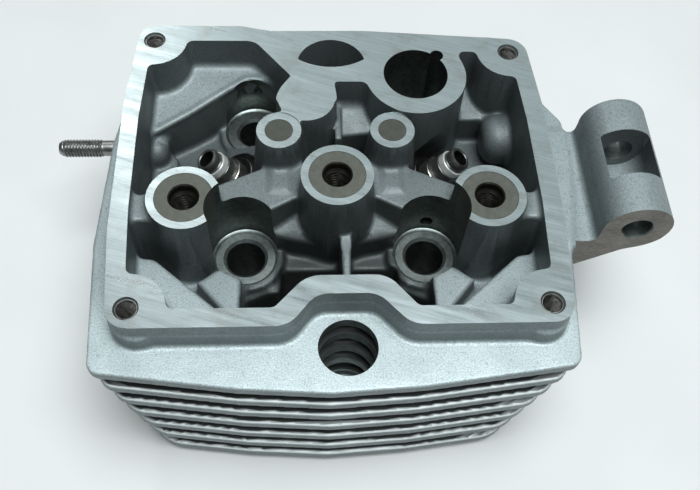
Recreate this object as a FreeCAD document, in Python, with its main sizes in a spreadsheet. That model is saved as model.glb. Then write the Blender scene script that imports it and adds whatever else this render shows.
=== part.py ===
import FreeCAD, Part
import math
import os
import re
import Sketcher
from FreeCAD import Placement, Rotation, Vector

# Cylinder head of a single air-cooled engine, in millimetres.
# The origin is on the bore's axis in the gasket face. +Z points up to the rocker cover,
# -X is the exhaust side, +X the intake side, -Y the pushrod side and +Y the spark plug side.

doc = FreeCAD.newDocument("cylinder_head")
sheet = doc.addObject("Spreadsheet::Sheet", "Dimensions")

DIMENSIONS = {
    # heights above the gasket face
    "head_height": 72,
    "plate_top": 60.5,
    "floor_height": 40,
    "core_height": 34,
    "stud_seat_height": 41.7,
    "bolt_seat_height": 22,
    "post_top": 71.7,
    "ledge_height": 60,
    "web_top": 62,
    "side_rib_top": 69,
    "front_shelf_height": 57.5,
    "back_shelf_height": 58,
    "foot_top": 66,
    # fins
    "plate_thickness": 3.9,
    "fin_pitch": 8.95,
    "fin_thickness": 3.6,
    "fin_inset": 1.55,
    # bore and chamber
    "core_radius": 47,
    "bore_radius": 28.25,
    "dome_height": 20,
    "spigot_radius": 30,
    "spigot_depth": 3,
    # studs that hold the head to the cylinder
    "stud_front_offset": 28.7,
    "stud_front_row": 25.4,
    "stud_back_offset": 26.5,
    "stud_back_row": 25.2,
    "stud_well_radius": 10.4,
    "stud_hole_front": 6.2,
    "stud_hole_back": 5.6,
    "keyed_boss_radius": 16.4,
    "key_radius": 2.2,
    # side bolt beside the pushrod tunnel
    "side_bolt_across": 1.8,
    "side_bolt_row": 65.4,
    "side_bolt_well": 8.5,
    "side_bolt_hole": 4.5,
    # posts that carry the rocker gear
    "post_radius": 10.9,
    "side_post_offset": 45,
    "side_post_row": 22.1,
    "centre_post_row": 14.3,
    "bush_radius": 8.6,
    "bush_length": 14,
    "bush_counterbore": 4.2,
    "bush_counterbore_depth": 3,
    "bush_thread_radius": 3.4,
    "rest_offset": 17.5,
    "rest_row": 2.4,
    "rest_radius": 6.8,
    "rest_foot_radius": 9.8,
    "pad_radius": 4.35,
    "pad_length": 9,
    # cover screws
    "cover_screw_offset": 58,
    "cover_front_row": 58.1,
    "cover_back_left_row": 39.6,
    "cover_back_right_row": 34.8,
    "cover_boss_radius": 10.5,
    "insert_radius": 3.1,
    "insert_bore": 2.65,
    "insert_length": 12,
    "insert_setback": 0.6,
    # valve gear, along each valve's axis down from the top of its guide
    "valve_tilt": 35,
    "guide_tip_offset": 41.3,
    "guide_tip_row": 3.1,
    "guide_tip_height": 56.4,
    "guide_neck_radius": 4.0,
    "guide_radius": 4.9,
    "guide_bore": 2.75,
    "guide_flange_radius": 6.0,
    "guide_length": 40,
    "clip_radius": 4.6,
    "clip_start": 3.4,
    "clip_end": 5.8,
    "flange_start": 9.7,
    "hub_start": 13.4,
    "spring_floor": 15,
    "washer_thickness": 1.5,
    "hub_radius": 8.0,
    "washer_radius": 10.2,
    "spring_pocket_radius": 10.6,
    "spring_boss_radius": 14,
    "seat_start": 43.5,
    "seat_end": 49,
    "exhaust_seat_radius": 12,
    "intake_seat_radius": 13,
    "seat_width": 2.6,
    # ports
    "port_height": 27,
    "port_bowl_depth": 39,
    "exhaust_port_radius": 9.5,
    "intake_port_radius": 10.5,
    "flange_face": 69,
    "flange_boss_radius": 19,
    "flange_drop": 5,
    "ear_radius": 8,
    "intake_ear_row": 23,
    "ear_thread_radius": 2.5,
    "ear_thread_depth": 14,
    # exhaust stud
    "stud_row": 16.6,
    "stud_height": 44.5,
    "stud_radius": 3,
    "stud_reach": 91.9,
    "stud_grip": 57,
    # spark plug
    "plug_tilt": 50,
    "plug_start_row": 7,
    "plug_start_height": 17,
    "plug_thread_radius": 5.4,
    "plug_insert_radius": 7.2,
    "plug_insert_length": 12.7,
    "plug_seat_distance": 23,
    "plug_access_radius": 11,
    "window_radius": 11.1,
    "window_row": 28.9,
    "window_floor": 50,
    # hanger lug
    "lug_across": 89.1,
    "lug_height": 67,
    "lug_radius": 10.5,
    "lug_hole": 4.5,
    "lug_front": 31.6,
    "lug_length": 42.2,
    "lug_window_front": 18.4,
    "lug_window_length": 16.2,
    "lug_window_width": 15.5,
    # pushrod passages
    "pushrod_front": 48.4,
    "pushrod_back": 35,
    "pushrod_bay_back": 30,
    "pushrod_bay_floor": 14,
    "divider_across": 2,
    "divider_thickness": 3,
    "divider_top": 52,
    # planes that divide the casting into its nodes
    "upper_split": 54,
    "lower_split": 29.8,
    "pushrod_split": 40.5,
    "well_split": 27.6,
    "lug_split": 76,
}

for row, (alias, value) in enumerate(DIMENSIONS.items(), start=1):
    sheet.set(f"A{row}", alias.replace("_", " "))
    sheet.set(f"B{row}", str(value))
    sheet.setAlias(f"B{row}", alias)
doc.recompute()

WORDS = re.compile(r"\b(" + "|".join(DIMENSIONS) + r")\b")


def cells(formula):
    """Turn the dimension names in a formula into references to the spreadsheet."""
    return WORDS.sub(r"Dimensions.\1", str(formula))


def size(alias):
    return float(sheet.get(alias))


def bind(item, **formulas):
    """Bind an object's properties to formulas in the dimension names."""
    for name, formula in formulas.items():
        item.setExpression(name.replace("__", "."), cells(formula))
    return item


def place(item, x=0, y=0, z=0, axis=None, angle=None):
    """Place an object at formulas, turned by an angle formula about an axis."""
    if axis is not None:
        item.Placement = Placement(Vector(), Rotation(axis, 1))
        item.setExpression("Placement.Rotation.Angle", cells(angle))
    item.setExpression("Placement.Base.x", cells(x))
    item.setExpression("Placement.Base.y", cells(y))
    item.setExpression("Placement.Base.z", cells(z))
    return item


X_AXIS = Vector(1, 0, 0)
Y_AXIS = Vector(0, 1, 0)


def cylinder(name, radius, bottom, top, x=0, y=0, axis=None, angle=None):
    """Cylinder from one height to another, upright unless it is turned about its foot."""
    item = doc.addObject("Part::Cylinder", name)
    bind(item, Radius=radius, Height=f"({top}) - ({bottom})")
    return place(item, x, y, bottom, axis, angle)


def box(name, x, y, z, length, width, height):
    """Box from its lowest corner."""
    item = doc.addObject("Part::Box", name)
    bind(item, Length=length, Width=width, Height=height)
    return place(item, x, y, z)


def sphere(name, radius, z):
    item = doc.addObject("Part::Sphere", name)
    bind(item, Radius=radius)
    return place(item, z=z)


def combine(kind, name, items):
    """Part::MultiFuse or Part::MultiCommon of several objects."""
    item = doc.addObject(kind, name)
    item.Shapes = items
    return item


def fuse(name, items):
    return combine("Part::MultiFuse", name, items)


def cut(name, base, tool):
    item = doc.addObject("Part::Cut", name)
    item.Base = base
    item.Tool = tool
    return item


def common(name, items):
    return combine("Part::MultiCommon", name, items)


def rounded_edges(corners):
    """Lines and arcs of a closed outline whose corners (x, y, radius) are rounded off."""
    runs = []
    for i, (x, y, radius) in enumerate(corners):
        here = Vector(x, y, 0)
        before = Vector(*corners[i - 1][:2], 0) - here
        after = Vector(*corners[(i + 1) % len(corners)][:2], 0) - here
        half = before.getAngle(after) / 2
        back = radius / math.tan(half) if radius else 0
        start = here + before.normalize() * back
        end = here + after.normalize() * back
        inward = (before + after).normalize()
        middle = here + inward * (radius / math.sin(half) - radius)
        runs.append((start, middle, end, radius))
    edges = []
    for i, (start, middle, end, radius) in enumerate(runs):
        previous = runs[i - 1][2]
        if (start - previous).Length > 1e-6:
            edges.append(Part.LineSegment(previous, start))
        if radius:
            edges.append(Part.Arc(start, middle, end))
    return edges


def prism(name, corners, bottom, top):
    """Upright prism on a rounded outline."""
    sketch = doc.addObject("Sketcher::SketchObject", name + "_outline")
    for edge in rounded_edges(corners):
        sketch.addGeometry(edge, False)
    place(sketch, z=bottom)
    item = doc.addObject("Part::Extrusion", name)
    item.Base = sketch
    item.DirMode = "Custom"
    item.Dir = Vector(0, 0, 1)
    item.Solid = True
    bind(item, LengthFwd=f"({top}) - ({bottom})")
    return item


def side_prism(name, corners, front, length):
    """Prism along +Y on a rounded outline of (x, z, radius) corners."""
    sketch = doc.addObject("Sketcher::SketchObject", name + "_outline")
    for edge in rounded_edges(corners):
        sketch.addGeometry(edge, False)
    sketch.Placement = Placement(Vector(), Rotation(X_AXIS, 90))
    sketch.setExpression("Placement.Base.y", cells(front))
    item = doc.addObject("Part::Extrusion", name)
    item.Base = sketch
    item.DirMode = "Custom"
    item.Dir = Vector(0, 1, 0)
    item.Solid = True
    bind(item, LengthFwd=length)
    return item


def turned(name, profile, x=0, y=0, z=0, axis=None, angle=None):
    """PartDesign body turned about its own Z axis from (radius, height) formula pairs."""
    body = doc.addObject("PartDesign::Body", name)
    sketch = body.newObject("Sketcher::SketchObject", name + "_profile")
    plane = next(f for f in body.Origin.OriginFeatures if f.Role == "XZ_Plane")
    sketch.AttachmentSupport = (plane, [""])
    sketch.MapMode = "FlatFace"
    corners = [Vector(sheet.evalExpression(str(r)), sheet.evalExpression(str(h)), 0) for r, h in profile]
    for i, corner in enumerate(corners):
        sketch.addGeometry(Part.LineSegment(corner, corners[(i + 1) % len(corners)]), False)
    for i in range(len(corners)):
        sketch.addConstraint(Sketcher.Constraint("Coincident", i, 2, (i + 1) % len(corners), 1))
    for i, (corner, (radius, height)) in enumerate(zip(corners, profile)):
        across = sketch.addConstraint(Sketcher.Constraint("DistanceX", -1, 1, i, 1, corner.x))
        sketch.setExpression(f"Constraints[{across}]", cells(radius))
        up = sketch.addConstraint(Sketcher.Constraint("DistanceY", -1, 1, i, 1, corner.y))
        sketch.setExpression(f"Constraints[{up}]", cells(height))
    turn = body.newObject("PartDesign::Revolution", name + "_turn")
    turn.Profile = sketch
    turn.ReferenceAxis = (sketch, ["V_Axis"])
    turn.Angle = 360
    return place(body, x, y, z, axis, angle)


# The two valves lean away from each other. Everything on a valve's axis is described
# downwards from the top of its guide, and leans by the same tilt.
SIDES = {"exhaust": -1, "intake": 1}


def lean(side):
    """Placement formulas for a piece whose own Z axis is the axis of one valve."""
    sign = SIDES[side]
    return {
        "x": f"{sign} * guide_tip_offset",
        "y": "guide_tip_row",
        "z": "guide_tip_height",
        "axis": Y_AXIS * sign,
        "angle": "valve_tilt",
    }


def on_valve_axis(side, name, radius, top, bottom):
    """Cylinder along a valve's axis, between two distances below the top of its guide."""
    sign = SIDES[side]
    item = doc.addObject("Part::Cylinder", name)
    bind(item, Radius=radius, Height=f"({bottom}) - ({top})")
    return place(
        item,
        x=f"{sign} * (guide_tip_offset - ({bottom}) * sin(valve_tilt * 1 deg))",
        y="guide_tip_row",
        z=f"guide_tip_height - ({bottom}) * cos(valve_tilt * 1 deg)",
        axis=Y_AXIS * sign,
        angle="valve_tilt",
    )


def on_plug_axis(name, radius, start, end):
    """Cylinder along the spark plug's axis, between two distances from the chamber."""
    item = doc.addObject("Part::Cylinder", name)
    bind(item, Radius=radius, Height=f"({end}) - ({start})")
    return place(
        item,
        y=f"plug_start_row + ({start}) * sin(plug_tilt * 1 deg)",
        z=f"plug_start_height + ({start}) * cos(plug_tilt * 1 deg)",
        axis=X_AXIS * -1,
        angle="plug_tilt",
    )


COVER_SCREWS = {
    "front_left": ("-cover_screw_offset", "-cover_front_row"),
    "front_right": ("cover_screw_offset", "-cover_front_row"),
    "back_left": ("-cover_screw_offset", "cover_back_left_row"),
    "back_right": ("cover_screw_offset", "cover_back_right_row"),
}
STUDS = {
    "front_left": ("-stud_front_offset", "-stud_front_row", "stud_hole_front"),
    "front_right": ("stud_front_offset", "-stud_front_row", "stud_hole_front"),
    "back_left": ("-stud_back_offset", "stud_back_row", "stud_hole_back"),
    "back_right": ("stud_back_offset", "stud_back_row", "stud_hole_back"),
}
POSTS = {
    "left": ("-side_post_offset", "-side_post_row"),
    "centre": ("0", "-centre_post_row"),
    "right": ("side_post_offset", "-side_post_row"),
}
RESTS = {
    "left": ("-rest_offset", "rest_row"),
    "right": ("rest_offset", "rest_row"),
}


# ---- outer form of the casting ----

# The rocker box is a wall with slightly bowed sides. Its front is dented round the side
# bolt, and its back left corner stands a little further out than the rest of the back.
RIM_OUTSIDE = [
    (-63.2, -64, 6.5), (-14.6, -64, 8), (-7, -54.4, 7), (10, -54.4, 7), (18.7, -64, 8),
    (63.6, -64, 6.5), (67.6, -9.2, 300), (64, 40.4, 6.5), (10, 44.2, 60), (-20.5, 43.9, 4),
    (-30, 46.1, 6), (-62.8, 46.1, 6), (-67.3, -9.2, 300),
]
box_wall = prism("box_wall", RIM_OUTSIDE, "core_height - 3", "head_height")

# The front cover bosses stand a little out of the lower part of the wall.
boss_feet = [
    cylinder(f"{side}_boss_foot", 6.9, "core_height", "foot_top", x, "-cover_front_row")
    for side, x in (("left", -56), ("right", 57))
]

# The top plate is the widest fin. On the intake side it swells under the hanger lug.
PLATE = [
    (-69.4, -71.6, 4), (-3, -80.6, 200), (67.2, -71.8, 4), (70.6, -35, 200), (75.6, 2, 6),
    (75.6, 15, 4), (68.5, 26, 8), (63.5, 53, 10), (0, 55.5, 600), (-62, 53, 10),
    (-76.6, -12, 330),
]
top_plate = prism("top_plate", PLATE, "plate_top - plate_thickness", "plate_top")

FIN_COUNT = 6
fins = []
for level in range(1, FIN_COUNT + 1):
    inset = level * size("fin_inset")
    corner = 4 + 1.6 * level
    outline = [
        (-69.4 + inset, -71.6 - level / 4, corner), (-3, -80.6, 200),
        (67.2 - inset, -71.8 - level / 4, corner), (72.5 - inset, -10, 250),
        (66 - inset, 52 - inset / 3, 12), (-64 + inset, 52 - inset / 3, 12),
        (-76.4 + inset, -12, 300),
    ]
    top = f"plate_top - {level} * fin_pitch"
    fins.append(prism(f"fin_{level}", outline, f"{top} - fin_thickness", top))

# Below the rocker box the metal narrows to the bore and to the pushrod passages.
barrel = cylinder("barrel", "core_radius", 0, "core_height")
tunnel = prism(
    "pushrod_tunnel",
    [(-27, -54, 6), (30, -54, 6), (36, -20, 6), (-36, -20, 6)], 0, "core_height",
)
bolt_boss = cylinder("side_bolt_boss", 10.2, 0, "bolt_seat_height", "side_bolt_across", "-side_bolt_row")

flange_bosses = []
for side, sign in SIDES.items():
    boss = cylinder(f"{side}_flange_boss", "flange_boss_radius", 0, "flange_face")
    flange_bosses.append(place(boss, z="port_height - flange_drop", axis=Y_AXIS * sign, angle="90"))
# Each port's flange has two threaded ears. On the exhaust side they are across a diagonal.
EARS = {
    "exhaust_back": ("exhaust", "stud_row", "stud_height"),
    "exhaust_front": ("exhaust", "-stud_row", "2 * port_height - stud_height"),
    "intake_back": ("intake", "intake_ear_row", "port_height"),
    "intake_front": ("intake", "-intake_ear_row", "port_height"),
}
for ear, (side, y, z) in EARS.items():
    sign = SIDES[side]
    boss = cylinder(f"{ear}_ear", "ear_radius", 0, "flange_face - 40")
    flange_bosses.append(place(boss, f"{sign} * 40", y, z, Y_AXIS * sign, "90"))

# The hanger lug is one long profile: a web out of the side of the head, and the barrel
# for the engine mounting bolt above its end.
LUG_PROFILE = [
    (62, 46.2, 0), (75.2, 46.2, 1.5), (97.2, 62, 0), (89.1, 70, 0), (79.3, 64.5, 0),
    (77.8, 60.5, 3), (62, 60.5, 0),
]
lug_web = side_prism("lug_web", LUG_PROFILE, "-lug_front", "lug_length")
lug_barrel = cylinder("lug_barrel", "lug_radius", 0, "lug_length")
place(lug_barrel, "lug_across", "-lug_front", "lug_height", X_AXIS * -1, "90")

outer_form = fuse("outer_form", [
    box_wall, *boss_feet, top_plate, *fins, barrel, tunnel, bolt_boss, *flange_bosses, lug_web, lug_barrel,
])

# ---- inside of the rocker box ----

RIM_INSIDE = [
    (-58.6, -58.6, 3), (-18.4, -58.6, 2.5), (-9.4, -48.8, 9), (12.8, -48.8, 8),
    (20.9, -58.6, 2.5), (58.9, -58.6, 3), (61.2, -9.2, 300), (58.7, 35.1, 2),
    (42.5, 35.1, 1), (28, 22, 0), (0, 22, 1.2), (0, 14.9, 0), (-17.8, 14.9, 0),
    (-13.6, 24.3, 1), (-25.6, 39.6, 6), (-58.9, 39.6, 3), (-61.5, -9.2, 300),
]
cavity = prism("cavity", RIM_INSIDE, "floor_height", "head_height + 1")
hollow_head = cut("hollow_head", outer_form, cavity)

# Everything that stands on the floor starts this high, so that it joins the metal below.
ROOT = "floor_height - 1"


def mirrored(corners):
    return [(-x, y, radius) for x, y, radius in reversed(corners)]


islands = []
for corner, (x, y) in COVER_SCREWS.items():
    islands.append(cylinder(f"{corner}_cover_boss", "cover_boss_radius", ROOT, "head_height", x, y))
for post, (x, y) in POSTS.items():
    islands.append(cylinder(f"{post}_post", "post_radius", ROOT, "post_top", x, y))
for rest, (x, y) in RESTS.items():
    foot = doc.addObject("Part::Cone", f"{rest}_rest")
    bind(foot, Radius1="rest_foot_radius", Radius2="rest_radius", Height=f"post_top - ({ROOT})")
    islands.append(place(foot, x, y, ROOT))
for stud, (x, y, _) in STUDS.items():
    seat = cylinder(f"{stud}_stud_seat", "stud_well_radius + 1.6", ROOT, "stud_seat_height", x, y)
    islands.append(seat)
islands.append(cylinder(
    "keyed_boss", "keyed_boss_radius", ROOT, "head_height", "stud_back_offset", "stud_back_row",
))
islands.append(cylinder("block", 8.9, ROOT, "head_height", -8.9, 14.9))

# Webs tie the side posts to the centre post, to the rests and to the side walls.
LEFT_WEB = [
    (-46, -19, 0), (-38, -13.5, 0), (-17.5, -2, 5), (0, -10, 0), (0, -18, 0), (-17.5, -11, 6), (-42, -27, 0),
]
# Shelves fill the front corners and the back left corner below the rim. A ledge joins the
# keyed boss to the block.
LEFT_SHELF = [(-62, -60, 0), (-20, -60, 3), (-29, -57.6, 4), (-55, -34.5, 4), (-62, -34.5, 0)]
BACK_SHELF = [
    (-62, 18, 0), (-48, 24.5, 8), (-30, 34, 6), (-22, 34.5, 0), (-22, 42, 0), (-62, 42, 0),
]
LEDGE = [(-4, 12, 0), (14, 13, 0), (14, 23, 0), (-4, 23, 0)]
for name, corners, top in (
    ("left_web", LEFT_WEB, "web_top"),
    ("right_web", mirrored(LEFT_WEB), "web_top"),
    ("front_left_shelf", LEFT_SHELF, "front_shelf_height"),
    ("front_right_shelf", mirrored(LEFT_SHELF), "front_shelf_height"),
    ("back_left_shelf", BACK_SHELF, "back_shelf_height"),
    ("ledge", LEDGE, "ledge_height"),
):
    islands.append(prism(name, corners, ROOT, top))
for side, x in (("exhaust", -63), ("intake", 45)):
    islands.append(box(f"{side}_side_rib", x, -27.5, ROOT, 18, 7.7, f"side_rib_top - ({ROOT})"))
for rest, (x, _) in RESTS.items():
    islands.append(box(f"{rest}_rest_arm", f"{x} - 2.5", -12, ROOT, 5, 17, f"web_top - ({ROOT})"))
islands.append(box(
    "divider", "divider_across - divider_thickness / 2", -49.5, "floor_height - 3",
    "divider_thickness", 26, "divider_top - floor_height + 3",
))

# Round swellings on the side walls back the stud threads, and a cast boss carries each
# valve spring.
for side, sign in SIDES.items():
    dome = cylinder(f"{side}_wall_dome", 8.5, 0, 14)
    islands.append(place(dome, sign * 49, "stud_row", "stud_height + 6", Y_AXIS * sign, "90"))
    islands.append(on_valve_axis(
        side, f"{side}_spring_boss", "spring_boss_radius", "spring_floor", "spring_floor + 12",
    ))

island_group = fuse("islands", islands)
rim_column = prism("rim_column", RIM_OUTSIDE, "floor_height - 4", "head_height")
inside = common("inside", [island_group, rim_column])
solid_head = fuse("solid_head", [hollow_head, inside])

# ---- cuts ----



def socket_well(name, stud):
    """The well that the socket for a cylinder stud's nut goes down."""
    x, y, _ = STUDS[stud]
    return cylinder(name, "stud_well_radius", "stud_seat_height", "head_height + 1", x, y)


cuts = []
for stud, (x, y, hole) in STUDS.items():
    cuts.append(socket_well(f"{stud}_stud_well", stud))
    cuts.append(cylinder(f"{stud}_stud_hole", hole, -1, "head_height", x, y))
KEY_AT = ("stud_back_offset + 7.5", "stud_back_row + 8")
cuts.append(cylinder("key_notch", "key_radius", "stud_seat_height", "head_height + 1", *KEY_AT))
SIDE_BOLT_AT = ("side_bolt_across", "-side_bolt_row")
cuts.append(cylinder("side_bolt_well", "side_bolt_well", "bolt_seat_height", "plate_top + 1", *SIDE_BOLT_AT))
cuts.append(cylinder("side_bolt_hole", "side_bolt_hole", -1, "plate_top", *SIDE_BOLT_AT))
for post, (x, y) in POSTS.items():
    cuts.append(cylinder(f"{post}_post_bore", "bush_radius", "post_top - bush_length", "post_top + 1", x, y))
for rest, (x, y) in RESTS.items():
    cuts.append(cylinder(f"{rest}_rest_bore", "pad_radius", "post_top - pad_length", "post_top + 1", x, y))
for corner, (x, y) in COVER_SCREWS.items():
    foot = "head_height - insert_length - 4"
    cuts.append(cylinder(f"{corner}_cover_bore", "insert_radius", foot, "head_height + 1", x, y))

# Valve springs, guides and seats.
for side, sign in SIDES.items():
    for name, radius, top, bottom in (
        ("spring_space", "spring_pocket_radius", -16, "spring_floor"),
        ("guide_bore", "guide_radius", "spring_floor - 1", "guide_length"),
        ("bowl", f"{side}_port_radius", "port_bowl_depth - 4", "seat_start + 1"),
        ("seat_bore", f"{side}_seat_radius", "seat_start", "seat_end + 8"),
    ):
        cuts.append(on_valve_axis(side, f"{side}_{name}", radius, top, bottom))
    port = cylinder(f"{side}_port", f"{side}_port_radius", 0, "flange_face - 17")
    start = f"{sign} * (guide_tip_offset - port_bowl_depth * sin(valve_tilt * 1 deg))"
    cuts.append(place(port, start, 0, "port_height", Y_AXIS * sign, "90"))
DOME_RADIUS = "(bore_radius ^ 2 + dome_height ^ 2) / (2 * dome_height)"
cuts.append(sphere("chamber_ball", DOME_RADIUS, f"dome_height - {DOME_RADIUS}"))
cuts.append(cylinder("spigot_recess", "spigot_radius", -1, "spigot_depth"))

# Pushrod passages, one either side of the divider, run down to the gasket face.
for name, left, right in (("left", -17.5, 0), ("right", 3.5, 19.5)):
    cuts.append(box(
        f"{name}_pushrod_passage", left, "-pushrod_front", -1,
        right - left, "pushrod_front - pushrod_back", "web_top",
    ))
    cuts.append(box(
        f"{name}_pushrod_bay", left, "-pushrod_front", "pushrod_bay_floor",
        right - left, "pushrod_front - pushrod_bay_back", "web_top - pushrod_bay_floor",
    ))

# Spark plug: thread and seat in the chamber roof, and the way in from the back, which
# shows from above through a window in the back of the rim.
cuts.append(on_plug_axis("plug_bore", "plug_insert_radius", -4, "plug_seat_distance"))
cuts.append(on_plug_axis("plug_access", "plug_access_radius", "plug_seat_distance", 70))
window_back = cylinder("window_back", "window_radius", "window_floor", "head_height + 1", -0.7, "window_row")
window_front = cylinder("window_front", 19, "window_floor - 1", "head_height + 2", -0.7, "window_row + 18.2")
cuts.append(common("window", [window_back, window_front]))

# The back exhaust ear holds the stud. The other three ears have bare threads.
for ear, (side, y, z) in EARS.items():
    sign = SIDES[side]
    bore = cylinder(f"{ear}_thread", "ear_thread_radius", 0, "ear_thread_depth + 2")
    depth = "ear_thread_depth"
    if ear == "exhaust_back":
        bind(bore, Radius="stud_radius", Height="flange_face + 2 - stud_grip")
        depth = "(flange_face - stud_grip)"
    cuts.append(place(bore, f"{sign} * (flange_face - {depth})", y, z, Y_AXIS * sign, "90"))

# Hanger bolt hole, and the window in the top of its barrel with a round floor.
lug_bore = cylinder("lug_bore", "lug_hole", 0, "lug_length + 2")
cuts.append(place(lug_bore, "lug_across", "-lug_front - 1", "lug_height", X_AXIS * -1, "90"))
cuts.append(box(
    "lug_window", "lug_across - lug_window_width / 2", "-lug_window_front", "lug_height",
    "lug_window_width", "lug_window_length", "lug_radius + 1",
))
window_floor = cylinder("lug_window_floor", "lug_window_width / 2", 0, "lug_window_length")
cuts.append(place(window_floor, "lug_across", "-lug_window_front", "lug_height", X_AXIS * -1, "90"))

head_casting = cut("head_casting", solid_head, fuse("cuts", cuts))

# The casting is one piece of metal. It is divided at flat planes, between fins and through
# the wells and passages, into nodes that are simple enough to collide with.
RANGE = 120
LEVELS = {
    "combustion_deck": (-RANGE, "lower_split"),
    "valve_deck": ("lower_split", "upper_split"),
    "rocker_box": ("upper_split", RANGE),
}
ROWS = {
    "front": (-RANGE, "-pushrod_split"),
    "pushrod": ("-pushrod_split", "-stud_front_row"),
    "middle": ("-stud_front_row", "stud_back_row"),
    "back": ("stud_back_row", RANGE),
}
HALVES = {"left": (-RANGE, 0), "right": (0, "lug_split")}
QUARTERS = {
    "left": (-RANGE, "-well_split"), "inner_left": ("-well_split", 0),
    "inner_right": (0, "well_split"), "right": ("well_split", "lug_split"),
}
QUARTERED = ("valve_deck_pushrod", "valve_deck_back", "rocker_box_back")
SECTIONS = {"hanger_lug": (("lug_split", RANGE), (-RANGE, RANGE), (-RANGE, RANGE))}
for level, heights in LEVELS.items():
    for row, depths in ROWS.items():
        columns = QUARTERS if f"{level}_{row}" in QUARTERED else HALVES
        for column, widths in columns.items():
            SECTIONS[f"{level}_{row}_{column}"] = (widths, depths, heights)

# ---- pieces fitted to the casting ----

nodes = []
for name, spans in SECTIONS.items():
    lows = [low for low, _ in spans]
    sizes = [f"({high}) - ({low})" for low, high in spans]
    nodes.append(common(name, [head_casting, box(f"{name}_space", *lows, *sizes)]))

for side in SIDES:
    spot = lean(side)
    nodes.append(turned(f"{side}_valve_guide", [
        ("guide_bore", 0), ("guide_neck_radius - 0.4", 0), ("guide_neck_radius", -0.8),
        ("guide_neck_radius", "-clip_end"), ("guide_radius", "-clip_end"),
        ("guide_radius", "-flange_start"), ("guide_flange_radius", "-flange_start"),
        ("guide_flange_radius", "-spring_floor"), ("guide_radius", "-spring_floor"),
        ("guide_radius", "-guide_length + 2"), ("guide_radius - 1", "-guide_length"),
        ("guide_bore", "-guide_length"),
    ], **spot))
    nodes.append(turned(f"{side}_guide_clip", [
        ("guide_neck_radius", "-clip_start"), ("clip_radius - 0.2", "-clip_start"),
        ("clip_radius", "-clip_start - 0.3"), ("clip_radius", "-clip_end"),
        ("guide_neck_radius", "-clip_end"),
    ], **spot))
    nodes.append(turned(f"{side}_spring_seat", [
        ("guide_flange_radius + 0.2", "-hub_start"), ("hub_radius", "-hub_start"),
        ("hub_radius", "-spring_floor + washer_thickness / 2"),
        ("washer_radius", "-spring_floor + washer_thickness / 2"),
        ("washer_radius", "-spring_floor"), ("guide_flange_radius + 0.2", "-spring_floor"),
    ], **spot))
    seat = f"{side}_seat_radius"
    nodes.append(turned(f"{side}_valve_seat", [
        (f"{seat} - seat_width", "-seat_start"), (seat, "-seat_start"), (seat, "-seat_end"),
        (f"{seat} - 0.8", "-seat_end"), (f"{seat} - seat_width", "-seat_end + 1.8"),
    ], **spot))

well_cutters = {}
for post, (x, y) in POSTS.items():
    bush = turned(f"{post}_bush_blank", [
        ("bush_thread_radius", "-bush_length"), ("bush_radius", "-bush_length"), ("bush_radius", 0),
        ("bush_counterbore", 0), ("bush_counterbore", "-bush_counterbore_depth"),
        ("bush_thread_radius", "-bush_counterbore_depth"),
    ], x=x, y=y, z="post_top")
    if post == "centre":
        bush.Label = "centre_post_bush"
        nodes.append(bush)
        continue
    # The front socket wells run past the side posts and clip their bushes.
    nodes.append(cut(f"{post}_post_bush", bush, socket_well(f"{post}_bush_relief", f"front_{post}")))

for rest, (x, y) in RESTS.items():
    nodes.append(turned(f"{rest}_rest_pad", [
        (0, "-pad_length"), ("pad_radius", "-pad_length"), ("pad_radius", 0), (0, 0),
    ], x=x, y=y, z="post_top"))

for corner, (x, y) in COVER_SCREWS.items():
    nodes.append(turned(f"{corner}_screw_insert", [
        ("insert_bore", "-insert_length"), ("insert_radius", "-insert_length"),
        ("insert_radius", 0), ("insert_bore + 0.3", 0), ("insert_bore", -0.4),
    ], x=x, y=y, z="head_height - insert_setback"))

nodes.append(turned("spark_plug_insert", [
    ("plug_thread_radius", "plug_seat_distance - plug_insert_length"),
    ("plug_insert_radius", "plug_seat_distance - plug_insert_length"),
    ("plug_insert_radius", "plug_seat_distance"), ("plug_thread_radius", "plug_seat_distance"),
], y="plug_start_row", z="plug_start_height", axis=X_AXIS * -1, angle="plug_tilt"))

nodes.append(turned("exhaust_stud", [
    (0, "stud_grip"), ("stud_radius - 0.5", "stud_grip"), ("stud_radius", "stud_grip + 0.8"),
    ("stud_radius", "flange_face + 2"), ("stud_radius - 0.35", "flange_face + 2.6"),
    ("stud_radius - 0.35", "flange_face + 7.4"), ("stud_radius", "flange_face + 8"),
    ("stud_radius", "stud_reach - 1"), ("stud_radius - 1", "stud_reach"), (0, "stud_reach"),
], y="stud_row", z="stud_height", axis=Y_AXIS * -1, angle="90"))

# ---- check and write ----

doc.recompute()
for item in doc.Objects:
    if "Invalid" in item.State or "Error" in item.State:
        raise SystemExit(f"{item.Name}: {item.State}")

os.makedirs("parts", exist_ok=True)
for node in nodes:
    shape = node.Shape
    if shape.isNull() or not shape.isValid() or not shape.Solids:
        raise SystemExit(f"{node.Label}: shape is null, invalid or holds no solid")
    shape.exportStep(f"parts/{node.Label}.step")
    print(f"{node.Label}: {len(shape.Solids)} solid, {shape.Volume / 1000:.2f} cm3")
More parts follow.
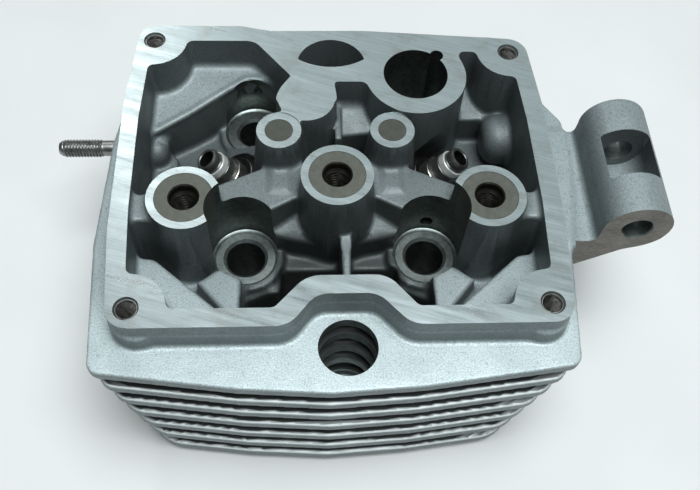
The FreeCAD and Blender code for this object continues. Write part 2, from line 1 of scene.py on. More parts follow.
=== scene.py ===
import math
import bpy
import numpy as np
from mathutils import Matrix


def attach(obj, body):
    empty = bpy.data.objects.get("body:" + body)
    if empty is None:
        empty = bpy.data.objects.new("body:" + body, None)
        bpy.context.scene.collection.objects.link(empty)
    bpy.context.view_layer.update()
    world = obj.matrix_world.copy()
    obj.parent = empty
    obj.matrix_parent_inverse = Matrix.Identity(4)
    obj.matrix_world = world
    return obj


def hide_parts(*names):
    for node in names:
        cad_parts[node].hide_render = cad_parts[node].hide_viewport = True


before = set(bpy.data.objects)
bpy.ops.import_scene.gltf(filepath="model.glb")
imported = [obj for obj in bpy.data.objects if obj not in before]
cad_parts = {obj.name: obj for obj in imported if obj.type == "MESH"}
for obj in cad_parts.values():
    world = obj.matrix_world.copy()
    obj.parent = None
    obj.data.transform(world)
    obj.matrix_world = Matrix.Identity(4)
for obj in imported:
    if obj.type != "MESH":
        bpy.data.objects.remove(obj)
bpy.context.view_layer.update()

import openvdb
from mathutils import Matrix, Vector

# Shapes are worked out in millimetres and written in metres.
MM = 0.001
TAU = 2 * math.pi

# ---- field: signed distance on a grid, negative in metal ----

GRID_STEP = 0.5
GRID_LOW = (-75.0, -80.0, -3.0)
GRID_HIGH = (102.0, 59.0, 80.0)
FAR = 12.0
REACH = 6.0

axes = [np.arange(a, b, GRID_STEP, dtype=np.float32) for a, b in zip(GRID_LOW, GRID_HIGH)]
GX = axes[0][:, None, None]
GY = axes[1][None, :, None]
GZ = axes[2][None, None, :]


def smooth_min(a, b, k):
    """Minimum of two distances, rounded where they are within k of each other."""
    if k <= 0:
        return np.minimum(a, b)
    h = np.maximum(k - np.abs(a - b), 0) / k
    return np.minimum(a, b) - h * h * (k / 4)


def smooth_max(a, b, k):
    return -smooth_min(-a, -b, k)


def rounded(corners, turn=0.1):
    """Points of a closed outline whose corners (x, y, radius) are rounded off."""
    points = []
    for i, (x, y, radius) in enumerate(corners):
        here = np.array((x, y), float)
        before = np.array(corners[i - 1][:2], float) - here
        after = np.array(corners[(i + 1) % len(corners)][:2], float) - here
        before /= np.linalg.norm(before)
        after /= np.linalg.norm(after)
        if radius <= 0:
            points.append(here)
            continue
        half = math.acos(np.clip(before @ after, -1, 1)) / 2
        centre = here + (before + after) / np.linalg.norm(before + after) * radius / math.sin(half)
        start = here + before * radius / math.tan(half) - centre
        end = here + after * radius / math.tan(half) - centre
        swing = math.atan2(start[0] * end[1] - start[1] * end[0], start @ end)
        count = max(2, int(abs(swing) / turn) + 1)
        for t in np.linspace(0, swing, count):
            c, s = math.cos(t), math.sin(t)
            points.append(centre + (c * start[0] - s * start[1], s * start[0] + c * start[1]))
    return np.array(points)


def polygon(points, gx=None, gy=None):
    """Plan distance to a closed polygon, negative inside."""
    x = axes[0][:, None] if gx is None else gx
    y = axes[1][None, :] if gy is None else gy
    best = np.full(np.broadcast(x, y).shape, 1e9, np.float32)
    inside = np.zeros(best.shape, bool)
    for (ax, ay), (bx, by) in zip(points, np.roll(points, -1, axis=0)):
        ex, ey = bx - ax, by - ay
        px, py = x - ax, y - ay
        t = np.clip((px * ex + py * ey) / max(ex * ex + ey * ey, 1e-12), 0, 1)
        best = np.minimum(best, (px - ex * t) ** 2 + (py - ey * t) ** 2)
        if ay != by:
            crosses = (ay > y) != (by > y)
            inside ^= crosses & (x < ex * (y - ay) / ey + ax)
    return np.where(inside, -1, 1).astype(np.float32) * np.sqrt(best).astype(np.float32)


def outline(corners):
    return polygon(rounded(corners))


def circle(x, y, radius):
    return np.hypot(axes[0][:, None] - x, axes[1][None, :] - y).astype(np.float32) - np.float32(radius)


def slab(across, along, edge):
    """Distance to a prism from its sideways and lengthways distances, with rounded edges."""
    w = across + edge
    h = along + edge
    outside = np.hypot(np.maximum(w, 0), np.maximum(h, 0))
    return np.minimum(np.maximum(w, h), 0) + outside - edge


def span(axis, low, high):
    first = int(np.searchsorted(axis, low))
    last = int(np.searchsorted(axis, high))
    return slice(max(first - 1, 0), max(last + 1, first + 1))


class Shape:
    """A part of the grid and the distances there."""

    def __init__(self, where, distance):
        self.where = where
        self.distance = distance


def column(plan, bottom, top, edge=0.8, draft=0.0):
    """Upright prism on a plan distance. It is wider by draft for each millimetre below its top."""
    near = plan < REACH + max(0.0, draft * (top - bottom))
    xs = np.flatnonzero(near.any(axis=1))
    ys = np.flatnonzero(near.any(axis=0))
    heights = span(axes[2], bottom - REACH, top + REACH)
    where = (slice(xs[0], xs[-1] + 1), slice(ys[0], ys[-1] + 1), heights)
    z = GZ[:, :, where[2]]
    across = plan[where[0], where[1], None] - draft * (top - z)
    along = np.abs(z - (top + bottom) / 2) - (top - bottom) / 2
    return Shape(where, slab(across, along, edge))


def rod(start, end, radius, edge=0.3):
    """Cylinder between two points."""
    start, end = np.array(start, float), np.array(end, float)
    length = np.linalg.norm(end - start)
    way = (end - start) / length
    widest = radius + REACH
    where = tuple(
        span(axes[i], min(start[i], end[i]) - widest, max(start[i], end[i]) + widest) for i in range(3)
    )
    px, py, pz = GX[where[0]] - start[0], GY[:, where[1]] - start[1], GZ[:, :, where[2]] - start[2]
    t = px * way[0] + py * way[1] + pz * way[2]
    away = np.sqrt(np.maximum(px * px + py * py + pz * pz - t * t, 0))
    along = np.abs(t - length / 2) - length / 2
    return Shape(where, slab((away - radius).astype(np.float32), along.astype(np.float32), edge))


def trimmed(shape, normal, offset, k=0.0):
    """The part of a shape behind the plane normal . point = offset."""
    size = np.linalg.norm(normal)
    n = np.array(normal, float) / size
    where = shape.where
    along = GX[where[0]] * n[0] + GY[:, where[1]] * n[1] + GZ[:, :, where[2]] * n[2]
    plane = along - offset / size
    return Shape(where, smooth_max(shape.distance, plane.astype(np.float32), k))


def new_field():
    return np.full((len(axes[0]), len(axes[1]), len(axes[2])), FAR, np.float32)


def add(field, shape, k=0.0):
    field[shape.where] = smooth_min(field[shape.where], shape.distance, k)


def remove(field, shape, k=0.0):
    field[shape.where] = smooth_max(field[shape.where], -shape.distance, k)


def both_sides(corners):
    """An outline's corners and their mirror image in the plane x = 0."""
    return corners, [(-x, y, r) for x, y, r in reversed(corners)]


# ---- sizes shared by the casting and its fitted pieces, as in the CAD model ----

HEAD_HEIGHT = 72.0
PLATE_TOP = 60.5
FLOOR = 40.0
CORE_HEIGHT = 34.0
STUD_SEAT = 41.7
BOLT_SEAT = 22.0
BOLT_WELL_RADIUS = 8.5
POST_TOP = 71.7
FIN_PITCH = 8.95
FIN_THICKNESS = 3.6
FIN_COUNT = 6
STUDS = {"front_left": (-28.7, -25.4, 6.2), "front_right": (28.7, -25.4, 6.2),
         "back_left": (-26.5, 25.2, 5.6), "back_right": (26.5, 25.2, 5.6)}
WELL_RADIUS = 10.4
BACK_LEFT_NECK_RADIUS = 8.5
SIDE_BOLT = (1.8, -65.4)
POSTS = {"left": (-45.0, -22.1), "centre": (0.0, -14.3), "right": (45.0, -22.1)}
POST_RADIUS = 10.9
BUSH_RADIUS = 8.6
BUSH_LENGTH = 14.0
RESTS = {"left": (-17.5, 2.4), "right": (17.5, 2.4)}
REST_RADIUS = 6.8
PAD_RADIUS = 4.35
PAD_LENGTH = 9.0
COVER_BOSS_RADIUS = 10.5
COVER_SCREWS = {"front_left": (-58.0, -58.1), "front_right": (58.0, -58.1),
                "back_left": (-58.0, 39.6), "back_right": (58.0, 34.8)}
TILT = math.radians(35)
TIP = (41.3, 3.1, 56.4)
SPRING_POCKET_RADIUS = 10.6
PLUG_TILT = math.radians(50)
PLUG_START = (0.0, 7.0, 17.0)
PLUG_SEAT = 23.0
PLUG_AXIS = (0.0, math.sin(PLUG_TILT), math.cos(PLUG_TILT))
CHAMBER_RADIUS = 28.25
CHAMBER_HEIGHT = 20.0
PORT_HEIGHT = 27.0
FLANGE_FACE = 69.0
LUG_CENTRE = (89.1, 67.0)
LUG_FRONT = -31.6
LUG_LENGTH = 42.2
LUG_RADIUS = 10.5
LUG_HOLE_RADIUS = 4.5
LUG_WINDOW_FRONT = -18.4
LUG_WINDOW_LENGTH = 16.2
LUG_WINDOW_RADIUS = 7.75
# The lug's field stands out by this much for the front face to be milled.
LUG_SPARE = 0.8
SIDES = {"exhaust": -1, "intake": 1}
PORT_RADIUS = {"exhaust": 9.5, "intake": 10.5}
SEAT_RADIUS = {"exhaust": 12.0, "intake": 13.0}
EARS = {"exhaust_back": (-1, 16.6, 44.5), "exhaust_front": (-1, -16.6, 9.5),
        "intake_back": (1, 23.0, 27.0), "intake_front": (1, -23.0, 27.0)}
EAR_THREAD_RADIUS = 2.55
EAR_THREAD_DEPTH = 14
STUD_HOLE_RADIUS = 3.02
STUD_HOLE_DEPTH = 12
DECKS = ("rocker_box", "valve_deck", "combustion_deck", "hanger_lug")


def on_valve(sign, distance):
    """Point on a valve's axis, at a distance below the top of its guide."""
    return (sign * (TIP[0] - distance * math.sin(TILT)), TIP[1], TIP[2] - distance * math.cos(TILT))


def on_plug(distance):
    """Point on the spark plug's axis, at a distance from its inner end."""
    return tuple(start + distance * way for start, way in zip(PLUG_START, PLUG_AXIS))


# ---- the casting as a field ----

RIM_OUTSIDE = [
    (-63.2, -64, 6.5), (-14.6, -64, 8), (-7, -54.4, 7), (10, -54.4, 7), (18.7, -64, 8),
    (63.6, -64, 6.5), (67.6, -9.2, 300), (64, 40.4, 6.5), (10, 44.2, 60), (-20.5, 43.9, 4),
    (-30, 46.1, 6), (-62.8, 46.1, 6), (-67.3, -9.2, 300),
]
RIM_INSIDE = [
    (-58.6, -58.6, 3), (-18.4, -58.6, 2.5), (-9.4, -48.8, 9), (12.8, -48.8, 8),
    (20.9, -58.6, 2.5), (58.9, -58.6, 3), (61.2, -9.2, 300), (58.7, 35.1, 2),
    (42.5, 35.1, 1), (28, 22, 0), (0, 22, 1.2), (0, 14.9, 0), (-17.8, 14.9, 0),
    (-13.6, 24.3, 1), (-25.6, 39.6, 6), (-58.9, 39.6, 3), (-61.5, -9.2, 300),
]
PLATE = [
    (-69.4, -71.6, 4), (-3, -80.6, 200), (67.2, -71.8, 4), (70.6, -35, 200), (75.6, 2, 6),
    (75.6, 15, 4), (68.5, 26, 8), (63.5, 53, 10), (0, 55.5, 600), (-62, 53, 10),
    (-76.6, -12, 330),
]

rim_plan = outline(RIM_OUTSIDE)
rim_inside_plan = outline(RIM_INSIDE)

head = new_field()
fin_plans = [outline(PLATE)]
add(head, column(fin_plans[0], PLATE_TOP - 3.9, PLATE_TOP, edge=0.7))
for level in range(1, FIN_COUNT + 1):
    inset = level * 1.55
    corner = 4 + 1.6 * level
    fin_plans.append(outline([
        (-69.4 + inset, -71.6 - level / 4, corner), (-3, -80.6, 200),
        (67.2 - inset, -71.8 - level / 4, corner), (72.5 - inset, -10, 250),
        (66 - inset, 52 - inset / 3, 12), (-64 + inset, 52 - inset / 3, 12),
        (-76.4 + inset, -12, 300),
    ]))
    top = PLATE_TOP - level * FIN_PITCH
    add(head, column(fin_plans[-1], top - FIN_THICKNESS, top, edge=0.6))

# The wall's upper and lower mould halves meet in a faint ridge half way up.
ridge = 0.3 * np.exp(-((GZ - 66.2) / 0.7) ** 2)
wall = column(rim_plan, CORE_HEIGHT - 3, HEAD_HEIGHT + 0.8, edge=0.3, draft=0.012)
wall.distance = wall.distance - ridge[:, :, wall.where[2]].astype(np.float32)
add(head, wall, 1.6)
for x in (-56, 57):
    add(head, column(circle(x, -58.1, 6.9), CORE_HEIGHT, 66, edge=0.7), 1.2)
add(head, column(circle(0, 0, 47), 0, CORE_HEIGHT, edge=0.3), 1.6)
pushrod_block = outline([(-27, -54, 6), (30, -54, 6), (36, -20, 6), (-36, -20, 6)])
add(head, column(pushrod_block, 0, CORE_HEIGHT, edge=0.3), 1.6)
add(head, column(circle(*SIDE_BOLT, 10.2), 0, BOLT_SEAT, edge=0.3), 1.2)
for sign in SIDES.values():
    middle = PORT_HEIGHT - 5
    add(head, rod((sign * 30, 0, middle), (sign * FLANGE_FACE, 0, middle), 19, edge=0.8), 2.0)
for sign, y, z in EARS.values():
    add(head, rod((sign * 40, y, z), (sign * FLANGE_FACE, y, z), 8, edge=0.8), 2.5)

# Hanger lug: a web out of the side of the head and a barrel at its end.
lug_outline = rounded([
    (62, 46.2, 0), (75.2, 46.2, 1.5), (97.2, 62, 0), (89.1, 70, 0), (79.3, 64.5, 0),
    (77.8, 60.5, 3), (62, 60.5, 0),
])
xs, zs = axes[0][:, None], axes[2][None, :]
lug_profile = polygon(lug_outline, xs, zs)[:, None, :]
lug_barrel = np.hypot(xs - LUG_CENTRE[0], zs - LUG_CENTRE[1]) - LUG_RADIUS
lug_section = smooth_min(lug_profile, lug_barrel.astype(np.float32)[:, None, :], 2.0)
lug_middle = LUG_FRONT - LUG_SPARE + LUG_LENGTH / 2
lug_along = np.abs(GY - lug_middle) - LUG_LENGTH / 2 - LUG_SPARE
xs_near = span(axes[0], 55, 102)
lug_shape = slab(lug_section[xs_near], lug_along, 1.4)
add(head, Shape((xs_near, slice(None), slice(None)), lug_shape), 3.0)
outer = head.copy()

# Inside of the rocker box.
remove(head, column(rim_inside_plan, FLOOR, HEAD_HEIGHT + 8, edge=2.5, draft=-0.018))

# What stands in the box is one field, which is then blended into the floor and the walls.
inside = new_field()
BELOW = FLOOR - 6
ABOVE = HEAD_HEIGHT + 1


def island(shape, k):
    add(inside, shape, k)


def raised(corners, top, edge=0.8, draft=0.0):
    """Upright prism on an outline, from below the box's floor."""
    return column(outline(corners), BELOW, top, edge, draft)


for x, y in COVER_SCREWS.values():
    island(column(circle(x, y, COVER_BOSS_RADIUS), BELOW, ABOVE, draft=0.02), 2.0)
for name, (x, y) in POSTS.items():
    draft = 0.05 if name == "centre" else 0.02
    island(column(circle(x, y, POST_RADIUS), BELOW, ABOVE, draft=draft), 2.5)
for x, y in RESTS.values():
    island(column(circle(x, y, REST_RADIUS), BELOW, ABOVE, draft=0.09), 2.5)
island(column(circle(26.5, 25.2, 16.4), BELOW, ABOVE, draft=0.02), 2.0)
island(column(circle(-8.9, 14.9, 8.9), BELOW, ABOVE, draft=0.03), 2.0)
for x, y, _ in STUDS.values():
    island(column(circle(x, y, 12.2), BELOW, STUD_SEAT + 0.6, edge=1.0), 1.5)

# The front wells have a collar that climbs towards the webs.
for name in ("front_left", "front_right"):
    x, y, _ = STUDS[name]
    collar = column(circle(x, y, 12.8), BELOW, 62)
    island(trimmed(collar, (0, -1.7, 1.0), 44.0 - 1.7 * (y + 5), 1.0), 2.0)

# Webs from the side posts to the centre post and the rests.
WEB_LEFT = [(-47, -17.5, 0), (-38, -11, 3), (-24, -4.5, 3), (-14, 0, 5), (0, -8, 0), (0, -16, 0),
            (-11.5, -15, 2), (-20.5, -20, 1.5), (-28, -21, 0), (-42, -27, 0)]
SHOULDER = [(-21, -12, 2), (-21, -22, 2), (-4, -25, 2), (-4, -12, 0)]
for corners in both_sides(WEB_LEFT):
    island(raised(corners, 61.2, edge=0.9, draft=0.03), 1.6)
for corners in both_sides(SHOULDER):
    island(trimmed(raised(corners, 54, edge=1.0), (0, -0.55, 1.0), 50.5 + 0.55 * 20, 1.0), 1.2)
for sign in SIDES.values():
    near, far = sign * 42, sign * 66
    rib = [(near, -27.5, 0), (far, -29, 0), (far, -18.6, 0), (near, -19.8, 0)]
    island(raised(rib, 69.2, edge=1.2, draft=0.02), 2.5)
    x = RESTS["left"][0] * -sign
    arm = [(x - 2.7, -13, 0), (x + 2.7, -13, 0), (x + 2.7, 4, 0), (x - 2.7, 4, 0)]
    island(raised(arm, 61.5, edge=1.2), 2.5)

# Shelves in the corners.
FRONT_SHELF = [(-66, -62, 0), (-19, -62, 3), (-29, -57.0, 4), (-54.5, -34.5, 4), (-66, -33, 0)]
for corners in both_sides(FRONT_SHELF):
    island(raised(corners, 57.5, edge=1.0, draft=0.03), 2.5)
RIDGE = [(-62, 13.2), (-59.3, 14.7), (-47.5, 21.7), (-35.3, 30.1), (-28.2, 34.4), (-19.6, 33)]
BACK_SHELF = [
    (-66, 11, 0), *[(x, y, 4) for x, y in RIDGE[1:]], (-16, 32, 0), (-16, 44, 0), (-66, 44, 0),
]


def shelf_top(y):
    """Height of the back shelf, which climbs towards the back wall."""
    return 57.2 + 0.22 * (y - 24.5)


shelf = raised(BACK_SHELF, 63, edge=1.0, draft=0.05)
island(trimmed(shelf, (0, -0.22, 1.0), shelf_top(0), 0.8), 2.0)
ridge_line = [(x, y + 0.5, shelf_top(y) - 0.5) for x, y in RIDGE]
for start, end in zip(ridge_line, ridge_line[1:]):
    island(rod(start, end, 1.2, edge=1.0), 0.8)
island(raised([(-66, -10, 0), (-51, -10, 3), (-52, 13, 3), (-66, 13, 0)], 45.5), 1.5)
POCKET_SHELF = [(40, 23, 0), (47, 23, 2), (54, 23.5, 2), (66, 26, 0), (66, 44, 0), (40, 44, 0)]
island(trimmed(raised(POCKET_SHELF, 60), (0, -0.35, 1.0), 51.5 - 0.35 * 24, 0.8), 1.5)
WELL_FOOT = [(-43, -37, 0), (-29.7, -53, 0), (-29.7, -36, 0), (-36, -32, 0)]
for corners in both_sides(WELL_FOOT):
    island(raised(corners, 47.5, edge=1.5, draft=0.1), 3.0)
ledge = raised([(-4, 11.5, 0), (14, 13, 0), (14, 26, 0), (-4, 26, 0)], 64)
island(trimmed(ledge, (0, -0.5, 1.0), 61.5 - 0.5 * 22, 0.8), 1.5)
island(raised([(0.2, 7, 0), (2.4, 7, 0), (2.4, 24, 0), (0.2, 24, 0)], 61.6), 1.0)

# Swellings on the side walls and the seats of the valve springs.
island(rod((-72, 13, 47), (-54.5, 13, 47), 5.6, edge=4), 2.0)
island(rod((50.5, 16.6, 48.5), (72, 16.6, 48.5), 8.4, edge=5.5), 2.0)
for sign in SIDES.values():
    island(rod(on_valve(sign, 15), on_valve(sign, 30), 14, edge=1.0), 2.5)

# Rib between the pushrod passages.
rib_plan = outline([(0.9, -60, 0), (4.5, -60, 0), (4.5, -20, 0), (0.9, -20, 0)])
rib = column(rib_plan, BELOW - 3, 60, edge=0.6)
island(trimmed(rib, (0, -0.16, 1.0), 56.0 + 0.16 * 25, 0.5), 1.0)

# All of it stays within the rim's outside and the casting's outside.
keep = column(rim_plan, BELOW, HEAD_HEIGHT + 2, edge=0.1, draft=0.012)
clipped = np.full_like(inside, FAR)
clipped[keep.where] = np.maximum(inside[keep.where], keep.distance)
head = smooth_min(head, clipped, 2.2)
head = np.maximum(head, outer)
del inside, clipped

# Rough openings that stay as cast.
PASSAGE_FRONT = -48.6
for left, right in ((-17.5, 0.9), (4.5, 19.5)):
    front = [(left, PASSAGE_FRONT, 2), (right, PASSAGE_FRONT, 2)]
    passage = outline([*front, (right, -35, 2), (left, -35, 2)])
    remove(head, column(passage, -4, 62, edge=0.2), 1.0)
    bay = outline([*front, (right, -29.5, 2), (left, -29.5, 2)])
    remove(head, column(bay, 14, 58, edge=2.0), 1.5)
POCKET = [(-29.5, -57.5, 3), (-16, -57.5, 1), (-16, -37, 1), (-22, -37.5, 3), (-29.5, -41, 3)]
for corners in both_sides(POCKET):
    remove(head, column(outline(corners), 26, 57, edge=2.0), 1.0)
window = np.maximum(circle(-0.7, 28.9, 11.1), circle(-0.7, 47.1, 19))
remove(head, column(window, 50, 80, edge=1.0))
remove(head, rod(on_plug(PLUG_SEAT), on_plug(70), 10.2, edge=0.5), 1.0)
for side, sign in SIDES.items():
    inner_end = (on_valve(sign, 39)[0], 0, PORT_HEIGHT)
    remove(head, rod(inner_end, (sign * 74, 0, PORT_HEIGHT), PORT_RADIUS[side], edge=0.2))
    remove(head, rod(on_valve(sign, 35), on_valve(sign, 46), PORT_RADIUS[side], edge=1.0))
    remove(head, rod(on_valve(sign, -16), on_valve(sign, 15), SPRING_POCKET_RADIUS, edge=0.3))


def mesh_of(field, name):
    """Triangulated skin of a field, in millimetres."""
    band = 3.0
    grid = openvdb.FloatGrid(band)
    grid.copyFromArray(np.clip(field, -band, band))
    points, triangles, quads = grid.convertToPolygons(0.0, 0.0)
    mesh = bpy.data.meshes.new(name)
    points = points * GRID_STEP + np.array(GRID_LOW)
    mesh.from_pydata(points, [], [*triangles.tolist(), *quads.tolist()])
    return mesh


# ---- mesh helpers ----


def link(name, mesh):
    thing = bpy.data.objects.new(name, mesh)
    bpy.context.scene.collection.objects.link(thing)
    return thing


def discard(thing):
    mesh = thing.data
    bpy.data.objects.remove(thing)
    bpy.data.meshes.remove(mesh)


def evaluated(thing):
    """Mesh of an object with its modifiers applied."""
    graph = bpy.context.evaluated_depsgraph_get()
    return bpy.data.meshes.new_from_object(thing.evaluated_get(graph))


def thinned(mesh, triangles):
    thing = link("thinning", mesh)
    mesh.calc_loop_triangles()
    squeeze = thing.modifiers.new("squeeze", "DECIMATE")
    squeeze.ratio = triangles / len(mesh.loop_triangles)
    squeeze.use_collapse_triangulate = True
    result = evaluated(thing)
    discard(thing)
    return result


def without(thing, tool):
    """Mesh of an object with a tool's solids cut away. New faces keep the tool's material index."""
    cutter = link("cutter", tool)
    cutter.matrix_world = thing.matrix_world.copy()
    carve = thing.modifiers.new("carve", "BOOLEAN")
    carve.operation = "DIFFERENCE"
    carve.solver = "MANIFOLD"
    carve.object = cutter
    bpy.context.view_layer.update()
    result = evaluated(thing)
    thing.modifiers.clear()
    discard(cutter)
    return result


def carved(mesh, name, *tools):
    """Mesh with the solids of some tools cut away."""
    thing = link("carving", mesh)
    result = without(thing, combined(name, tools))
    discard(thing)
    return result


def toward(start, direction):
    """Matrix that puts a piece's own Z axis along a direction from a start point, in millimetres."""
    turn = Vector((0, 0, 1)).rotation_difference(Vector(direction)).to_matrix().to_4x4()
    return Matrix.Translation(start) @ turn


def tooth(phase):
    """Height of a rounded thread ridge along one pitch, from 0 to 1."""
    ramp = np.abs(phase - np.floor(phase) - 0.5) * 2
    return np.clip(1.35 * ramp - 0.15, 0, 1)


def turning(profile, segments=96, threads=None):
    """Vertices, faces and face runs of a closed solid turned about Z.

    The profile is a closed loop of (radius, height), anticlockwise seen with the axis on the left.
    threads gives a pitch and a depth for each threaded run, by the index of its first point.
    """
    threads = threads or {}
    rows = []
    for i, (radius, height) in enumerate(profile):
        rows.append((radius, height, 0.0, 1.0, i))
        if i not in threads:
            continue
        pitch, depth = threads[i]
        end_radius, end_height = profile[(i + 1) % len(profile)]
        length = abs(end_height - height)
        steps = int(length / pitch * 8)
        for s in range(1, steps):
            t = s / steps
            fade = min(1.0, t * length / pitch, (1 - t) * length / pitch)
            here = (radius + (end_radius - radius) * t, height + (end_height - height) * t)
            rows.append((*here, depth * fade, pitch, i))
    angles = np.arange(segments) * TAU / segments
    points, rings, runs = [], [], []
    for radius, height, depth, pitch, run in rows:
        if radius < 1e-6:
            rings.append([len(points)])
            points.append((0.0, 0.0, height))
        else:
            around = radius + depth * tooth(height / pitch - angles / TAU)
            rings.append(list(range(len(points), len(points) + segments)))
            points += [(r * math.cos(a), r * math.sin(a), height) for r, a in zip(around, angles)]
        runs.append(run)
    faces, face_runs = [], []
    for i, here in enumerate(rings):
        there = rings[(i + 1) % len(rings)]
        if len(here) == 1 and len(there) == 1:
            continue
        for j in range(segments):
            k = (j + 1) % segments
            if len(here) == 1:
                faces.append((here[0], there[k], there[j]))
            elif len(there) == 1:
                faces.append((here[j], here[k], there[0]))
            else:
                faces.append((here[j], here[k], there[k], there[j]))
            face_runs.append(runs[i])
    return points, faces, face_runs


def combined(name, parts):
    """One mesh from (points, faces, matrix, material index) parts."""
    points, faces, slots = [], [], []
    for part_points, part_faces, matrix, slot in parts:
        base = len(points)
        points += [tuple(matrix @ Vector(p)) for p in part_points]
        faces += [tuple(base + v for v in f) for f in part_faces]
        slots += [slot] * len(part_faces) if isinstance(slot, int) else list(slot)
    mesh = bpy.data.meshes.new(name)
    mesh.from_pydata(points, [], faces)
    mesh.polygons.foreach_set("material_index", np.array(slots, np.int32))
    return mesh


def turned_tool(profile, matrix, slot, segments=96):
    """Cutter turned about an axis. slot is a material index, or one for each run that isn't BORED."""
    points, faces, runs = turning(profile, segments)
    if isinstance(slot, dict):
        slot = [slot.get(run, BORED) for run in runs]
    return points, faces, matrix, slot


def boxed(low, high, slot, bevel=0.0):
    """Box between two corners, with its upright edges rounded."""
    x0, y0, z0 = low
    x1, y1, z1 = high
    if bevel:
        plan = rounded([(x0, y0, bevel), (x1, y0, bevel), (x1, y1, bevel), (x0, y1, bevel)])
    else:
        plan = [(x0, y0), (x1, y0), (x1, y1), (x0, y1)]
    n = len(plan)
    points = [(x, y, z0) for x, y in plan] + [(x, y, z1) for x, y in plan]
    faces = [tuple(reversed(range(n))), tuple(range(n, 2 * n))]
    faces += [(i, (i + 1) % n, n + (i + 1) % n, n + i) for i in range(n)]
    return points, faces, Matrix(), slot


UP = (0, 0, 1)
BACK = (0, 1, 0)

# Material index of the casting's faces by how they are made; the walls of deep wells and pockets get a darker
# copy of the bored finish, as painted shade.
CAST, BRIGHT, BORED, DARK, SHADED_WELL = range(5)


def drilled(x, y, bottom, top, radius, slot=BORED):
    return turned_tool([(0, bottom), (radius, bottom), (radius, top), (0, top)], toward((x, y, 0), UP), slot)


# ---- casting: thin the skin, then machine it ----

casting = thinned(mesh_of(head, "casting_skin"), 150_000)

# Cover face, post tops and rest tops.
casting = carved(casting, "face_mill", boxed((-80, -85, HEAD_HEIGHT), (71, 65, 85), BRIGHT))
post_mills = [drilled(x, y, POST_TOP, 74, POST_RADIUS + 0.7, BRIGHT) for x, y in POSTS.values()]
post_mills += [drilled(x, y, POST_TOP, 74, REST_RADIUS + 0.1, BRIGHT) for x, y in RESTS.values()]
casting = carved(casting, "post_mills", *post_mills)

# Wells and holes for the studs, each with a spot-faced seat.
wells = []
for name, (x, y, hole) in STUDS.items():
    # The back left well is narrower above the height of its nut.
    neck = BACK_LEFT_NECK_RADIUS if name == "back_left" else WELL_RADIUS
    wells.append(turned_tool([
        (0, -5), (hole, -5), (hole, STUD_SEAT - 0.9), (hole + 0.9, STUD_SEAT),
        (WELL_RADIUS - 1.0, STUD_SEAT), (WELL_RADIUS - 0.8, STUD_SEAT + 0.25),
        (WELL_RADIUS, STUD_SEAT + 0.6), (WELL_RADIUS, STUD_SEAT + 6),
        (neck, STUD_SEAT + 11), (neck, 85), (0, 85),
    ], toward((x, y, 0), UP), {8: SHADED_WELL, 7: SHADED_WELL, 6: SHADED_WELL, 1: SHADED_WELL}, 128))
casting = carved(casting, "well_tools", *wells)
oil_hole = [(0, 0), (2.1, 0), (2.1, 7), (0, 7)]
oil_hole_frame = toward((29.6, -18, 46.6), BACK)
casting = carved(casting, "oil_hole_tool", turned_tool(oil_hole, oil_hole_frame, SHADED_WELL, 48))
keyed_x, keyed_y, _ = STUDS["back_right"]
key_slot = drilled(keyed_x + 7.5, keyed_y + 8, STUD_SEAT + 2, 85, 2.2, SHADED_WELL)
bolt_well = turned_tool([
    (0, -5), (4.5, -5), (4.5, BOLT_SEAT - 0.5), (5.0, BOLT_SEAT), (BOLT_WELL_RADIUS - 0.6, BOLT_SEAT),
    (BOLT_WELL_RADIUS, BOLT_SEAT + 0.6), (BOLT_WELL_RADIUS, 62), (0, 62),
], toward((*SIDE_BOLT, 0), UP), BORED, 128)
casting = carved(casting, "key_tools", key_slot, bolt_well)

# Seats of the fitted pieces.
FIT = 0.02
fitted = []
for x, y in POSTS.values():
    fitted.append(drilled(x, y, POST_TOP - BUSH_LENGTH, 74, BUSH_RADIUS + FIT))
for x, y in RESTS.values():
    fitted.append(drilled(x, y, POST_TOP - PAD_LENGTH, 74, PAD_RADIUS + FIT))
for x, y in COVER_SCREWS.values():
    fitted.append(turned_tool([
        (0, 56), (3.1, 56), (3.1, HEAD_HEIGHT - 0.6), (3.5, HEAD_HEIGHT), (3.5, 75), (0, 75),
    ], toward((x, y, 0), UP), BORED, 64))
casting = carved(casting, "fitted_tools", *fitted)


def valve_frame(sign):
    """Matrix of a valve's axis, pointing up out of the tip of its guide."""
    return toward((sign * TIP[0], TIP[1], TIP[2]), (sign * math.sin(TILT), 0, math.cos(TILT)))


# Spring pockets, guide bores and valve seats.
for side, sign in SIDES.items():
    seat = SEAT_RADIUS[side]
    pocket = [(0, -15), (SPRING_POCKET_RADIUS, -15), (SPRING_POCKET_RADIUS, 16), (0, 16)]
    casting = carved(casting, "pocket_tool", turned_tool(pocket, valve_frame(sign), SHADED_WELL))
    guide_hole = [(0, -60), (seat, -60), (seat, -43.5), (4.92, -43.5), (4.92, -14), (0, -14)]
    casting = carved(casting, "guide_tool", turned_tool(guide_hole, valve_frame(sign), BORED))

# Combustion chamber with its liner recess, and the spark plug's hole.
dome_radius = (CHAMBER_RADIUS ** 2 + CHAMBER_HEIGHT ** 2) / (2 * CHAMBER_HEIGHT)
dome = []
for t in np.linspace(0, 1, 25):
    angle = t * math.asin(CHAMBER_RADIUS / dome_radius)
    dome.append((dome_radius * math.sin(angle), CHAMBER_HEIGHT - dome_radius * (1 - math.cos(angle))))
chamber = [(0, -5), (30, -5), (30, 3), (28.1, 3)] + [p for p in reversed(dome) if p[1] > 3.2]
casting = carved(casting, "chamber_tool", turned_tool(chamber, Matrix(), BORED, 128))
plug_hole = [
    (0, -4), (7.22, -4), (7.22, PLUG_SEAT - 0.1), (10.4, PLUG_SEAT - 0.1), (10.4, PLUG_SEAT + 3),
    (0, PLUG_SEAT + 3),
]
plug_frame = toward(PLUG_START, PLUG_AXIS)
casting = carved(casting, "plug_tool", turned_tool(plug_hole, plug_frame, BORED))

